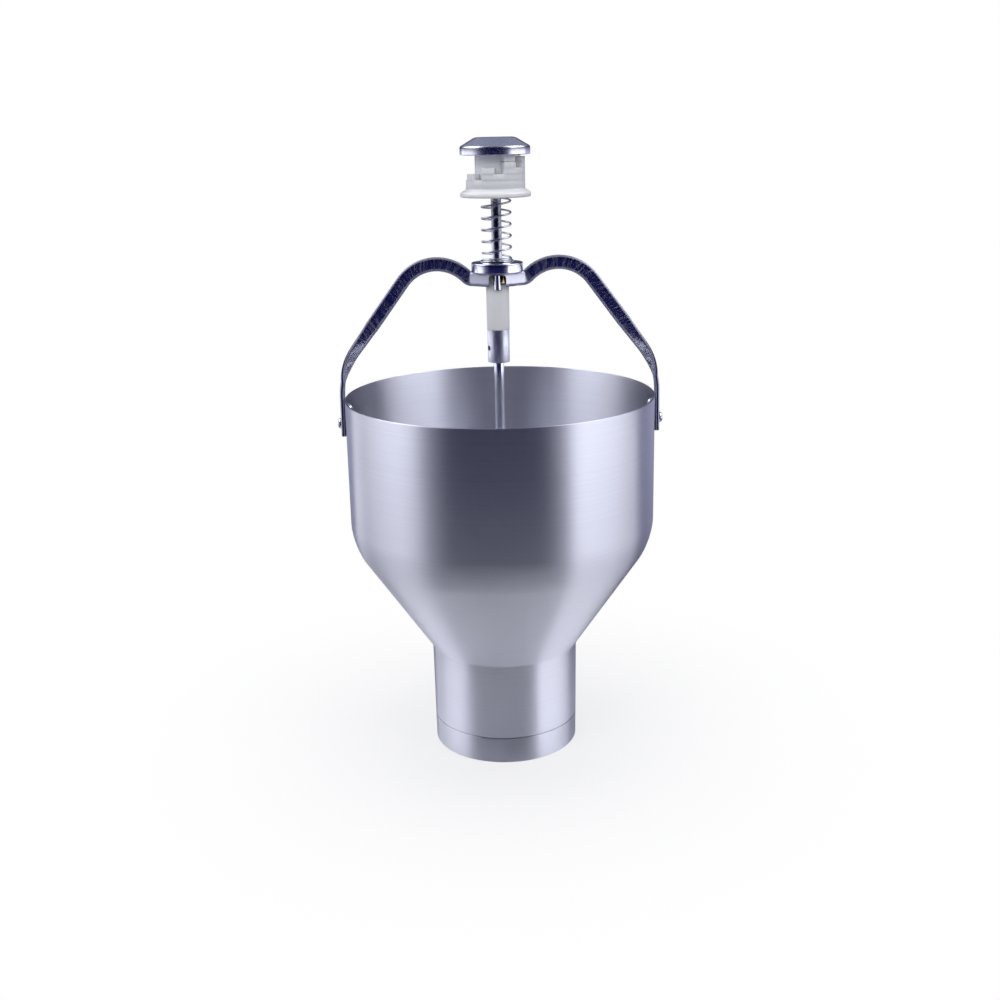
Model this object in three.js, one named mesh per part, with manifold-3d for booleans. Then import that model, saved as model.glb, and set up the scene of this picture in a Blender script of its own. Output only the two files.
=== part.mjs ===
import * as THREE from 'three';
import { mergeVertices } from 'three/addons/utils/BufferGeometryUtils.js';
import Module from 'manifold-3d';

// Pancake batter dispenser: a spun funnel with a two-strip handle across its mouth, and a plunger
// that hangs from a sprung knob, with a stepped dial that sets the dose.
// Millimetres, +Z up. The origin is the centre of the base and the front looks along -Y.

const wasm = await Module();
wasm.setup();

// Fits shared by neighbouring pieces
const runningGap = 0.3;
const seatGap = 0.15;
const overrun = 5;

// Hopper, spun from sheet: cylinder, rounded shoulder, cone and neck
const mouthRadius = 100;
const rimHeight = 239.5;
const hopperWall = 1.2;
const shoulderCornerHeight = 145.3;
const shoulderRadius = 42;
const neckTopRadius = 48.9;
const neckBottomRadius = 48.5;
const neckCornerHeight = 69.2;
const neckFillet = 2.5;
const rimRounding = 0.5;
const hopperSegments = 60;

// Outlet block, turned, pushed up into the neck; its lower ring shows under the hopper's edge
const ringHeight = 17.35;
const ringRadius = 48.3;
const ringChamfer = 0.5;
const grooveHeight = 0.5;
const blockTopHeight = 84;
const throatLipWidth = 1.2;
const boreRadius = 25.3;
const boreTopHeight = 62;
const boreBottomHeight = 34;
const exitRadius = 43.5;
const exitFlareHeight = 16;
const outletSealHeight = 30;
const turnedSegments = 40;

// Handle: two pressed strips back to back that bow apart round the hub
const stripThickness = 1.35;
const stripHeight = 8.8;
const stripShoulder = 1.8;
const shoulderDrop = 0.75;
const seamHalfGap = 0.15;
const hubLift = 74.4;
const creaseOffset = 18.1;
const hubSagitta = 10;
const eyeRadius = 9;
const archRadius = 26.7;
const archCentreDrop = 17.15;
const elbowLift = 17;
const elbowRadius = 40;
const twistStartLift = 10.5;
const twistLength = 40;
const tabDrop = 25.3;
const tabEndWidth = 14.6;
const tabCornerRadius = 3;
const archSteps = 10;
const elbowSteps = 8;
const eyeSteps = 6;
const cornerSteps = 3;
const notchWidth = 10.9;
const notchDepth = 7.2;
const notchFillet = 2;

// Rivets that hold the tabs to the wall
const rivetInset = 8;
const rivetSpacing = 9.5;
const rivetShankRadius = 2;
const rivetHeadRadius = 3.4;
const rivetDomeHeight = 2.4;
const rivetFlatHeight = 0.7;
const rivetSegments = 12;

// Hub collar, guide bush and guide pin
const collarRadius = 16.3;
const collarHeight = 5.75;
const collarChamfer = 0.6;
const collarDiscRadius = 10.4;
const collarDiscHeight = 1.4;
const spannerNotchWidth = 2.4;
const spannerNotchDepth = 1.5;
const spannerNotchLength = 3.4;
const bushRadius = 5;
const bushHang = 7.5;
const pinRadius = 2.05;
const pinHang = 10.8;
const pinSocketDepth = 2.5;
const pinChamfer = 0.3;

// Return spring
const springOuterRadius = 9.65;
const wireRadius = 0.6;
const springPitch = 7.08;
const closedPitch = 1.75;
const restingTurn = 0.45;
const activeTurns = 8;
const closingTurn = 1.1;
const springSteps = 8;
const springSides = 5;

// Plunger: rod, white sleeve, ferrule and grub screw under the hub
const rodRadius = 3.25;
const rodChamfer = 0.5;
const sleeveRadius = 7.25;
const sleeveLength = 28.7;
const keyDepth = 3.4;
const crownHeight = 5.2;
const crownStartTurn = THREE.MathUtils.degToRad(-155);
const crownEndTurn = THREE.MathUtils.degToRad(-25);
const ferruleRadius = 7;
const ferruleLength = 21;
const ferruleChamfer = 0.5;
const grubRadius = 1.6;
const grubRecess = 0.8;
const grubDrop = 11.7;
const grubTurn = THREE.MathUtils.degToRad(206);
const hexSides = 6;

// Plunger: the parts in the outlet
const nutHeight = 5;
const nutAcrossCorners = 15;
const nutBottomHeight = 31;
const rodNutInset = 1;
const valveThickness = 5;
const pistonRadius = 24.8;
const pistonLift = 7;
const pistonThickness = 5;
const pistonConeRise = 3;
const pistonHubRadius = 8;
const pistonEdge = 0.6;
const spacerRadius = 6;
const sealSection = 1.1;
const sealSides = 6;

// Knob, barrel with its lug, and the stepped dial
const springRoom = 38.75;
const dialFlangeRadius = 22;
const dialFlangeHeight = 2.8;
const dialFlareHeight = 2;
const dialFlangeEdge = 0.8;
const dialFlareRounding = 1.6;
const dialWallRadius = 18.4;
const dialLandHeight = 5.7;
const dialFirstStep = 1.3;
const dialStepRise = 3.53;
const dialStepCount = 6;
const dialLastRise = 3;
const dialFirstRiser = THREE.MathUtils.degToRad(-162);
const dialStepTurn = THREE.MathUtils.degToRad(45);
const dialFlatTurn = THREE.MathUtils.degToRad(25);
const arcStep = THREE.MathUtils.degToRad(5);
const dialRingLift = 3.8;
const dialRingSection = 0.9;
const barrelRadius = 12.6;
const barrelWall = 2.4;
const barrelRoof = 3.2;
const barrelRecess = 0.3;
const lugReach = 5.4;
const lugStartTurn = THREE.MathUtils.degToRad(18);
const lugEndTurn = THREE.MathUtils.degToRad(42);
const lugArmTurn = THREE.MathUtils.degToRad(60);
const lugHeight = 3.8;
const lugArmHeight = lugHeight - dialLastRise;
const knobRadius = 21.8;
const knobRimHeight = 5;
const knobRimEdge = 0.6;
const knobRimRounding = 1;
const knobConeRise = 5.5;
const knobTopRadius = 12.3;
const knobTopRounding = 1.6;
const knobRodDepth = 6;

// Places worked out from the sizes above
const innerMouthRadius = mouthRadius - hopperWall;
const halfStrip = stripHeight / 2;
const packHalf = seamHalfGap + stripThickness;
const tabMiddle = mouthRadius + runningGap + packHalf;
const tabBottomHeight = rimHeight - tabDrop;
const lowerRivetHeight = tabBottomHeight + rivetInset;
const upperRivetHeight = lowerRivetHeight + rivetSpacing;
const hubBarHeight = rimHeight + hubLift;
const collarBottomHeight = hubBarHeight + halfStrip;
const collarTopHeight = collarBottomHeight + collarHeight;
const discTopHeight = collarTopHeight + collarDiscHeight;
const dialBottomHeight = discTopHeight + springRoom;
const bushBottomHeight = collarBottomHeight - bushHang;
const pinBottomHeight = collarBottomHeight - pinHang;
const pinPlace = hubSagitta + seamHalfGap - seatGap - pinRadius;
const sleeveTopHeight = bushBottomHeight - runningGap;
const sleeveBottomHeight = sleeveTopHeight - sleeveLength;
const ferruleBottomHeight = sleeveBottomHeight - ferruleLength;
const rodBore = rodRadius + runningGap;
const valveBottomHeight = nutBottomHeight + nutHeight;
const valveTopHeight = valveBottomHeight + valveThickness;
const pistonBottomHeight = boreTopHeight + pistonLift;
const dialLandTop = dialBottomHeight + dialLandHeight;
const dialBore = barrelRadius + runningGap;
const lugStepIndex = dialStepCount - 1;
const lugBottomHeight = stepTop(lugStepIndex) + runningGap;
const knobBottomHeight = lugBottomHeight + lugHeight;
const knobTopHeight = knobBottomHeight + knobRimHeight + knobConeRise;
const rodTopHeight = knobBottomHeight + knobRodDepth;
const barrelBottomHeight = dialBottomHeight + barrelRecess;
const barrelRoofHeight = knobBottomHeight - barrelRoof;

// Top of a dial step: the land is step 0 and the last step is a little lower than the others
function stepTop(index) {
  if (index === 0) return dialLandTop;
  const full = Math.min(index, dialStepCount - 1);
  const last = index === dialStepCount ? dialLastRise : 0;
  return dialLandTop + dialFirstStep + (full - 1) * dialStepRise + last;
}

// Helpers: closed geometry, booleans, revolves, sectors and lofts

function closed(geometry) {
  const bare = new THREE.BufferGeometry();
  bare.setAttribute('position', geometry.getAttribute('position').clone());
  if (geometry.index) bare.setIndex(geometry.index.clone());
  const merged = mergeVertices(bare, 1e-4);
  const place = merged.getAttribute('position');
  const index = merged.index.array;
  const kept = [];
  let volume = 0;
  const a = new THREE.Vector3();
  const b = new THREE.Vector3();
  const c = new THREE.Vector3();
  for (let i = 0; i < index.length; i += 3) {
    const [p, q, r] = [index[i], index[i + 1], index[i + 2]];
    if (p === q || q === r || r === p) continue;
    kept.push(p, q, r);
    a.fromBufferAttribute(place, p);
    b.fromBufferAttribute(place, q);
    c.fromBufferAttribute(place, r);
    volume += a.dot(b.cross(c));
  }
  if (volume < 0) {
    for (let i = 0; i < kept.length; i += 3) [kept[i], kept[i + 1]] = [kept[i + 1], kept[i]];
  }
  merged.setIndex(kept);
  return merged;
}

function toSolid(geometry) {
  const body = closed(geometry);
  const vertProperties = new Float32Array(body.getAttribute('position').array);
  const triVerts = new Uint32Array(body.index.array);
  return new wasm.Manifold(new wasm.Mesh({ numProp: 3, vertProperties, triVerts }));
}

function toGeometry(solid) {
  const mesh = solid.getMesh();
  const geometry = new THREE.BufferGeometry();
  geometry.setAttribute('position', new THREE.BufferAttribute(new Float32Array(mesh.vertProperties), 3));
  geometry.setIndex(new THREE.BufferAttribute(new Uint32Array(mesh.triVerts), 1));
  return geometry;
}

function cut(geometry, cutters) {
  let solid = toSolid(geometry);
  for (const cutter of cutters) solid = solid.subtract(toSolid(cutter));
  return toGeometry(solid);
}

function join(geometries) {
  let solid = toSolid(geometries[0]);
  for (const extra of geometries.slice(1)) solid = solid.add(toSolid(extra));
  return toGeometry(solid);
}

// Corners are [radius, height, fillet, steps]; a corner with a fillet becomes an arc
function outline(corners, isClosed = true) {
  const points = [];
  corners.forEach((corner, i) => {
    const at = new THREE.Vector2(corner[0], corner[1]);
    const fillet = corner[2] ?? 0;
    if (fillet === 0) {
      points.push(at);
      return;
    }
    const before = corners[(i + corners.length - 1) % corners.length];
    const after = corners[(i + 1) % corners.length];
    const back = new THREE.Vector2(before[0], before[1]).sub(at).normalize();
    const ahead = new THREE.Vector2(after[0], after[1]).sub(at).normalize();
    const halfAngle = Math.acos(THREE.MathUtils.clamp(back.dot(ahead), -1, 1)) / 2;
    const reach = fillet / Math.tan(halfAngle);
    const middle = back.clone().add(ahead).normalize().multiplyScalar(fillet / Math.sin(halfAngle));
    const centre = at.clone().add(middle);
    const start = at.clone().addScaledVector(back, reach).sub(centre);
    const end = at.clone().addScaledVector(ahead, reach).sub(centre);
    const sweep = Math.atan2(start.cross(end), start.dot(end));
    const steps = corner[3] ?? 3;
    for (let s = 0; s <= steps; s += 1) {
      points.push(start.clone().rotateAround(new THREE.Vector2(), sweep * s / steps).add(centre));
    }
  });
  if (isClosed) points.push(points[0].clone());
  return points;
}

function revolve(corners, segments, isRing = true) {
  const lathe = new THREE.LatheGeometry(outline(corners, isRing), segments);
  lathe.rotateX(Math.PI / 2);
  return closed(lathe);
}

// A straight sleeve round the axis, with small chamfers on its outer edges
function sleeveRing(inner, outer, bottom, top, chamfer, segments) {
  const corners = [
    [inner, bottom], [outer - chamfer, bottom], [outer, bottom + chamfer],
    [outer, top - chamfer], [outer - chamfer, top], [inner, top],
  ];
  return revolve(corners, segments);
}

// A round-section ring
function sealRing(middle, section, height, segments) {
  const points = [];
  for (let i = 0; i <= sealSides; i += 1) {
    const turn = 2 * Math.PI * (i % sealSides) / sealSides;
    points.push(new THREE.Vector2(middle + section * Math.cos(turn), height + section * Math.sin(turn)));
  }
  const lathe = new THREE.LatheGeometry(points, segments);
  lathe.rotateX(Math.PI / 2);
  return closed(lathe);
}

// An upright block over part of a ring; turns are measured from the front towards +X
function sector(inner, outer, startTurn, endTurn, bottom, top) {
  const steps = Math.round((endTurn - startTurn) / arcStep);
  const shape = new THREE.Shape();
  const rim = (radius, turn) => [radius * Math.sin(turn), -radius * Math.cos(turn)];
  shape.moveTo(...rim(inner, startTurn));
  for (let i = 0; i <= steps; i += 1) {
    shape.lineTo(...rim(outer, startTurn + (endTurn - startTurn) * i / steps));
  }
  for (let i = steps; i > 0; i -= 1) {
    shape.lineTo(...rim(inner, startTurn + (endTurn - startTurn) * i / steps));
  }
  const block = new THREE.ExtrudeGeometry(shape, { depth: top - bottom, bevelEnabled: false });
  block.translate(0, 0, bottom);
  return closed(block);
}

// Rings of equal length joined side by side and capped at both ends
function loft(rings) {
  const count = rings[0].length;
  const positions = rings.flat().flatMap((point) => [point.x, point.y, point.z]);
  const index = [];
  for (let r = 0; r + 1 < rings.length; r += 1) {
    for (let i = 0; i < count; i += 1) {
      const a = r * count + i;
      const b = r * count + (i + 1) % count;
      index.push(a, b, a + count, b, b + count, a + count);
    }
  }
  const last = (rings.length - 1) * count;
  for (let i = 1; i + 1 < count; i += 1) {
    index.push(0, i + 1, i);
    index.push(last, last + i, last + i + 1);
  }
  const geometry = new THREE.BufferGeometry();
  geometry.setAttribute('position', new THREE.Float32BufferAttribute(positions, 3));
  geometry.setIndex(index);
  return closed(geometry);
}

// A pin across the part: a solid of revolution whose axis lies along +X
function alongX(corners, segments, height) {
  const body = revolve(corners, segments, false);
  body.rotateY(Math.PI / 2);
  body.translate(0, 0, height);
  return body;
}

// Hopper

// Corners of the hopper's section, moved inwards by a distance square to its walls
function hopperLine(inset) {
  const coneLean = Math.atan2(mouthRadius - neckTopRadius, shoulderCornerHeight - neckCornerHeight);
  const rise = inset * Math.tan(coneLean / 2);
  return {
    rim: [mouthRadius - inset, rimHeight],
    shoulder: [mouthRadius - inset, shoulderCornerHeight + rise, shoulderRadius - inset, 6],
    neck: [neckTopRadius - inset, neckCornerHeight + rise, neckFillet + inset, 3],
    foot: [neckBottomRadius - inset, ringHeight + grooveHeight],
    coneLean,
  };
}

function rivetHole(side, height) {
  const reach = rivetShankRadius + runningGap;
  const hole = new THREE.CylinderGeometry(reach, reach, 2 * overrun, rivetSegments);
  hole.rotateZ(Math.PI / 2);
  hole.translate(side * mouthRadius, 0, height);
  return hole;
}

function makeHopper() {
  const outer = hopperLine(0);
  const inner = hopperLine(hopperWall);
  const body = revolve([
    [...outer.rim, rimRounding, 1], outer.shoulder, outer.neck, outer.foot,
    inner.foot, inner.neck, inner.shoulder, [...inner.rim, rimRounding, 1],
  ], hopperSegments);
  const holes = [];
  for (const side of [-1, 1]) {
    holes.push(rivetHole(side, upperRivetHeight), rivetHole(side, lowerRivetHeight));
  }
  return cut(body, holes);
}

// Outlet block and its seal in the neck

function neckFaceRadius(height) {
  const line = hopperLine(hopperWall);
  const share = (height - line.foot[1]) / (line.neck[1] - line.foot[1]);
  return line.foot[0] + (line.neck[0] - line.foot[0]) * share;
}

function makeOutletBlock() {
  const face = hopperLine(hopperWall + runningGap);
  const topRadius = face.neck[0] + (blockTopHeight - face.neck[1]) * Math.tan(face.coneLean);
  const grooveFloor = neckFaceRadius(outletSealHeight) - 2 * (sealSection + seatGap);
  const grooveHalf = sealSection + seatGap;
  return revolve([
    [ringRadius, 0, ringChamfer, 1], [neckBottomRadius, ringHeight, ringChamfer, 1],
    [neckFaceRadius(ringHeight) - runningGap, ringHeight],
    [neckFaceRadius(outletSealHeight - grooveHalf) - runningGap, outletSealHeight - grooveHalf],
    [grooveFloor, outletSealHeight - grooveHalf], [grooveFloor, outletSealHeight + grooveHalf],
    [neckFaceRadius(outletSealHeight + grooveHalf) - runningGap, outletSealHeight + grooveHalf],
    face.neck, [topRadius, blockTopHeight], [topRadius - throatLipWidth, blockTopHeight],
    [boreRadius, boreTopHeight, neckFillet, 3], [boreRadius, boreBottomHeight],
    [exitRadius, exitFlareHeight, neckFillet, 3], [exitRadius, 0],
  ], turnedSegments);
}

function makeOutletSeal() {
  const middle = neckFaceRadius(outletSealHeight) - seatGap - sealSection;
  return sealRing(middle, sealSection, outletSealHeight, turnedSegments);
}

// Handle strips

// Places along the left half of the seam, from the tab's foot to the middle of the hub.
// Each has a point, a direction, the share of the quarter twist and the strip's width.
function handleRoute(side) {
  const archX = -(creaseOffset + Math.sqrt(archRadius ** 2 - archCentreDrop ** 2));
  const archZ = hubBarHeight - archCentreDrop;
  const places = [];
  const add = (x, y, z, dx, dy, dz, width = stripHeight) => {
    const twist = 1 - THREE.MathUtils.smoothstep(z - rimHeight - twistStartLift, 0, twistLength);
    places.push({ at: new THREE.Vector3(x, y, z), to: new THREE.Vector3(dx, dy, dz), twist, width });
  };

  for (let i = 0; i <= cornerSteps; i += 1) {
    const turn = Math.PI / 2 * i / cornerSteps;
    const rise = tabCornerRadius * (1 - Math.cos(turn));
    const width = tabEndWidth - 2 * tabCornerRadius * (1 - Math.sin(turn));
    add(-tabMiddle, 0, tabBottomHeight + rise, 0, 0, 1, width);
  }
  add(-tabMiddle, 0, rimHeight, 0, 0, 1);

  // The straight arm touches the arch from outside and bends into the tab at the elbow
  const across = archX + tabMiddle;
  const upwards = archZ - rimHeight - elbowLift;
  const armLean = Math.atan2(across, upwards) - Math.asin(archRadius / Math.hypot(across, upwards));
  const armX = archX - archRadius * Math.cos(armLean);
  const armZ = archZ + archRadius * Math.sin(armLean);
  const elbowZ = rimHeight + elbowLift - elbowRadius * Math.tan(armLean / 2);
  for (let i = 0; i <= elbowSteps; i += 1) {
    const lean = armLean * i / elbowSteps;
    const x = -tabMiddle + elbowRadius * (1 - Math.cos(lean));
    add(x, 0, elbowZ + elbowRadius * Math.sin(lean), Math.sin(lean), 0, Math.cos(lean));
  }
  const elbowEnd = places[places.length - 1].at.clone();
  const stretch = new THREE.Vector3(armX, 0, armZ).sub(elbowEnd);
  for (const share of [0.12, 0.3, 0.5]) {
    const p = elbowEnd.clone().addScaledVector(stretch, share);
    add(p.x, 0, p.z, Math.sin(armLean), 0, Math.cos(armLean));
  }

  const archEnd = Math.asin(archCentreDrop / archRadius);
  for (let i = 0; i <= archSteps; i += 1) {
    const turn = THREE.MathUtils.lerp(Math.PI - armLean, archEnd, i / archSteps);
    const x = archX + archRadius * Math.cos(turn);
    const z = archZ + archRadius * Math.sin(turn);
    if (i < archSteps) add(x, 0, z, Math.sin(turn), 0, -Math.cos(turn));
  }

  // From the crease a straight flank runs out to a round eye in front of or behind the hub
  const eyeCentre = hubSagitta - eyeRadius;
  const flankTurn = Math.asin(eyeRadius / Math.hypot(creaseOffset, eyeCentre))
    + Math.atan2(eyeCentre, creaseOffset);
  const intoArch = new THREE.Vector3(Math.sin(archEnd), 0, -Math.cos(archEnd));
  const intoFlank = new THREE.Vector3(Math.cos(flankTurn), side * Math.sin(flankTurn), 0);
  places.push({ at: new THREE.Vector3(-creaseOffset, 0, hubBarHeight), crease: [intoArch, intoFlank] });
  for (let i = 0; i <= eyeSteps; i += 1) {
    const turn = flankTurn * (1 - i / eyeSteps);
    const y = side * (eyeCentre + eyeRadius * Math.cos(turn));
    add(-eyeRadius * Math.sin(turn), y, hubBarHeight, Math.cos(turn), side * Math.sin(turn), 0);
  }
  return places;
}

// Unit vectors through the strip's thickness and along its width at one place
function stripAxes(direction, twist) {
  const along = direction.clone().normalize();
  const flatTurn = Math.atan2(along.y, along.x);
  const through = new THREE.Vector3(0, 1, 0);
  if (along.z === 0) through.set(-Math.sin(flatTurn), Math.cos(flatTurn), 0);
  const wide = along.clone().cross(through).normalize();
  const quarter = twist * Math.PI / 2;
  const thick = through.clone().multiplyScalar(Math.cos(quarter)).addScaledVector(wide, Math.sin(quarter));
  return { thick, wide: along.clone().cross(thick).normalize() };
}

function stripRing(place, side) {
  let axes;
  let width = stripHeight;
  if (place.crease) {
    const [first, second] = place.crease.map((direction) => stripAxes(direction, 0));
    const halfway = (a, b) => a.clone().add(b).divideScalar(1 + a.dot(b));
    axes = { thick: halfway(first.thick, second.thick), wide: halfway(first.wide, second.wide) };
  } else {
    axes = stripAxes(place.to, place.twist);
    width = place.width;
  }
  const half = width / 2;
  const inside = side * seamHalfGap;
  const outside = side * packHalf;
  const shoulder = outside - side * shoulderDrop;
  const section = [
    [inside, -half], [inside, half], [shoulder, half], [outside, half - stripShoulder],
    [outside, stripShoulder - half], [shoulder, -half],
  ];
  return section.map(([through, across]) => place.at.clone()
    .addScaledVector(axes.thick, through).addScaledVector(axes.wide, across));
}

function notchCutter() {
  const top = hubBarHeight - halfStrip + notchDepth;
  const bottom = hubBarHeight - halfStrip - overrun;
  const half = notchWidth / 2;
  const corners = outline([
    [-half, bottom], [half, bottom], [half, top, notchFillet, 4], [-half, top, notchFillet, 4],
  ], false);
  const shape = new THREE.Shape(corners);
  const depth = 2 * (hubSagitta + packHalf + overrun);
  const block = new THREE.ExtrudeGeometry(shape, { depth, bevelEnabled: false });
  block.translate(0, 0, -depth / 2);
  block.rotateX(Math.PI / 2);
  return block;
}

// side is -1 for the front strip and 1 for the back one
function makeStrip(side) {
  const half = handleRoute(side).map((place) => stripRing(place, side));
  const mirrored = half.slice(0, -1).reverse()
    .map((ring) => ring.map((point) => new THREE.Vector3(-point.x, point.y, point.z)));
  const body = loft([...half, ...mirrored]);
  const holes = [notchCutter()];
  for (const end of [-1, 1]) {
    holes.push(rivetHole(end, upperRivetHeight), rivetHole(end, lowerRivetHeight));
  }
  return cut(body, holes);
}

// Rivets, made along +X with the head outside, then turned for the left side

function domeCorners(base, direction) {
  const corners = [];
  for (let i = 0; i <= 4; i += 1) {
    const turn = Math.PI / 2 * i / 4;
    const reach = i === 4 ? 0 : rivetHeadRadius * Math.cos(turn);
    corners.push([reach, base + direction * rivetDomeHeight * Math.sin(turn)]);
  }
  return corners;
}

function makeLowerRivet(side) {
  const outside = tabMiddle + packHalf + seatGap;
  const inside = innerMouthRadius - runningGap;
  const body = alongX([
    [0, inside - rivetFlatHeight], [rivetHeadRadius, inside - rivetFlatHeight], [rivetHeadRadius, inside],
    [rivetShankRadius, inside], [rivetShankRadius, outside], ...domeCorners(outside, 1),
  ], rivetSegments, lowerRivetHeight);
  if (side < 0) body.rotateZ(Math.PI);
  return body;
}

function makeUpperRivet(side) {
  const outside = tabMiddle + packHalf;
  const inside = innerMouthRadius - runningGap;
  const body = alongX([
    ...domeCorners(inside, -1).reverse(), [rivetShankRadius, inside],
    [rivetShankRadius, outside], [0, outside],
  ], rivetSegments, upperRivetHeight);
  if (side < 0) body.rotateZ(Math.PI);
  return body;
}

// Hub

function makeCollar() {
  const body = revolve([
    [bushRadius + seatGap, collarBottomHeight], [collarRadius, collarBottomHeight],
    [collarRadius, collarTopHeight - collarChamfer], [collarRadius - collarChamfer, collarTopHeight],
    [collarDiscRadius, collarTopHeight], [collarDiscRadius, discTopHeight],
    [bushRadius + seatGap, discTopHeight],
  ], turnedSegments);
  const cutters = [];
  for (const side of [-1, 1]) {
    const notch = new THREE.BoxGeometry(spannerNotchLength, spannerNotchWidth, 2 * spannerNotchDepth);
    notch.translate(side * (collarRadius - spannerNotchLength / 4), 0, collarTopHeight);
    cutters.push(notch);
  }
  const socket = new THREE.CylinderGeometry(pinRadius + seatGap, pinRadius + seatGap,
    2 * pinSocketDepth, rivetSegments);
  socket.rotateX(Math.PI / 2);
  socket.translate(0, -pinPlace, collarBottomHeight);
  cutters.push(socket);
  return cut(body, cutters);
}

function makeBush() {
  return sleeveRing(rodBore, bushRadius, bushBottomHeight, discTopHeight, pinChamfer, turnedSegments / 2);
}

function makePin() {
  const top = collarBottomHeight + pinSocketDepth - seatGap;
  const pin = revolve([
    [0, pinBottomHeight], [pinRadius - pinChamfer, pinBottomHeight],
    [pinRadius, pinBottomHeight + pinChamfer], [pinRadius, top], [0, top],
  ], rivetSegments, false);
  pin.translate(0, -pinPlace, 0);
  return pin;
}

// Return spring: one unbroken wire that rises counter-clockwise from the collar into the barrel

function springHeight(turns) {
  const bottom = discTopHeight + wireRadius + seatGap;
  const rising = THREE.MathUtils.clamp(turns - restingTurn, 0, activeTurns);
  const closing = Math.max(turns - restingTurn - activeTurns, 0);
  return bottom + rising * springPitch + closing * closedPitch;
}

function makeSpring() {
  const totalTurns = restingTurn + activeTurns + closingTurn;
  const middle = springOuterRadius - wireRadius;
  const count = Math.round(totalTurns * springSteps);
  const place = (i) => {
    const turns = totalTurns * i / count;
    const angle = 2 * Math.PI * (turns - restingTurn);
    return new THREE.Vector3(middle * Math.cos(angle), middle * Math.sin(angle), springHeight(turns));
  };
  const rings = [];
  for (let i = 0; i <= count; i += 1) {
    const at = place(i);
    const along = place(Math.min(i + 1, count)).sub(place(Math.max(i - 1, 0))).normalize();
    const outwards = new THREE.Vector3(at.x, at.y, 0).normalize();
    const side = outwards.clone().sub(along.clone().multiplyScalar(outwards.dot(along))).normalize();
    const up = along.clone().cross(side);
    const ring = [];
    for (let s = 0; s < springSides; s += 1) {
      const turn = 2 * Math.PI * s / springSides;
      ring.push(at.clone().addScaledVector(side, wireRadius * Math.cos(turn))
        .addScaledVector(up, wireRadius * Math.sin(turn)));
    }
    rings.push(ring);
  }
  let least = Infinity;
  for (let i = 0; i <= count; i += 1) {
    for (let j = i + Math.ceil(springSteps / 2); j <= count; j += 1) {
      least = Math.min(least, place(i).distanceTo(place(j)) - 2 * wireRadius);
    }
  }
  console.log(`least gap of the spring to itself: ${least.toFixed(2)} mm`);
  return loft(rings);
}

// Plunger

function makeRod() {
  const bottom = nutBottomHeight + rodNutInset;
  return revolve([
    [0, bottom], [rodRadius - rodChamfer, bottom], [rodRadius, bottom + rodChamfer],
    [rodRadius, rodTopHeight - rodChamfer], [rodRadius - rodChamfer, rodTopHeight], [0, rodTopHeight],
  ], turnedSegments / 2, false);
}

// The guide pin keys the sleeve while the plunger is up, and a crown on the sleeve's left reaches
// up beside the bush
function makeSleeve() {
  const ring = sleeveRing(rodBore, sleeveRadius, sleeveBottomHeight, sleeveTopHeight, pinChamfer,
    turnedSegments / 2);
  const crown = sector(bushRadius + runningGap, sleeveRadius - pinChamfer, crownStartTurn, crownEndTurn,
    sleeveTopHeight - pinChamfer, sleeveTopHeight + crownHeight);
  const body = join([ring, crown]);
  const width = 2 * (pinRadius + runningGap);
  const depth = sleeveRadius - (pinPlace - pinRadius - runningGap) + overrun;
  const key = new THREE.BoxGeometry(width, depth, 2 * keyDepth);
  key.translate(0, -(pinPlace - pinRadius - runningGap) - depth / 2, sleeveTopHeight);
  return cut(body, [key]);
}

function makeFerrule() {
  const body = sleeveRing(rodBore, ferruleRadius, ferruleBottomHeight, sleeveBottomHeight,
    ferruleChamfer, turnedSegments / 2);
  const reach = grubRadius + seatGap;
  const hole = new THREE.CylinderGeometry(reach, reach, 2 * ferruleRadius, rivetSegments);
  hole.rotateZ(Math.PI / 2);
  hole.translate(ferruleRadius, 0, sleeveBottomHeight - grubDrop);
  hole.rotateZ(grubTurn);
  return cut(body, [hole]);
}

function makeGrubScrew() {
  const start = rodRadius + seatGap;
  const end = ferruleRadius - grubRecess;
  const screw = alongX([[0, start], [grubRadius, start], [grubRadius, end], [0, end]],
    rivetSegments, sleeveBottomHeight - grubDrop);
  const socket = new THREE.CylinderGeometry(grubRadius / 2, grubRadius / 2, 2 * grubRecess, hexSides);
  socket.rotateZ(Math.PI / 2);
  socket.translate(end, 0, sleeveBottomHeight - grubDrop);
  const body = cut(screw, [socket]);
  body.rotateZ(grubTurn);
  return body;
}

// A disc on the rod with a groove round its edge for a seal
function grooved(bottom, top) {
  const middle = (bottom + top) / 2;
  const floor = boreRadius - seatGap - 2 * sealSection - seatGap;
  const half = sealSection + seatGap;
  return [
    [rodBore, bottom], [pistonRadius - pistonEdge, bottom], [pistonRadius, bottom + pistonEdge],
    [pistonRadius, middle - half], [floor, middle - half], [floor, middle + half],
    [pistonRadius, middle + half], [pistonRadius, top - pistonEdge],
  ];
}

function makeValveDisc() {
  return revolve([
    ...grooved(valveBottomHeight, valveTopHeight), [pistonRadius - pistonEdge, valveTopHeight],
    [rodBore, valveTopHeight],
  ], turnedSegments);
}

function makePiston() {
  const top = pistonBottomHeight + pistonThickness;
  return revolve([
    ...grooved(pistonBottomHeight, top), [pistonHubRadius, top + pistonConeRise],
    [rodBore, top + pistonConeRise],
  ], turnedSegments);
}

function discSeal(bottom, top) {
  return sealRing(boreRadius - seatGap - sealSection, sealSection, (bottom + top) / 2, turnedSegments);
}

function makeSpacer() {
  return sleeveRing(rodBore, spacerRadius, valveTopHeight, pistonBottomHeight, pinChamfer,
    turnedSegments / 2);
}

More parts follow.
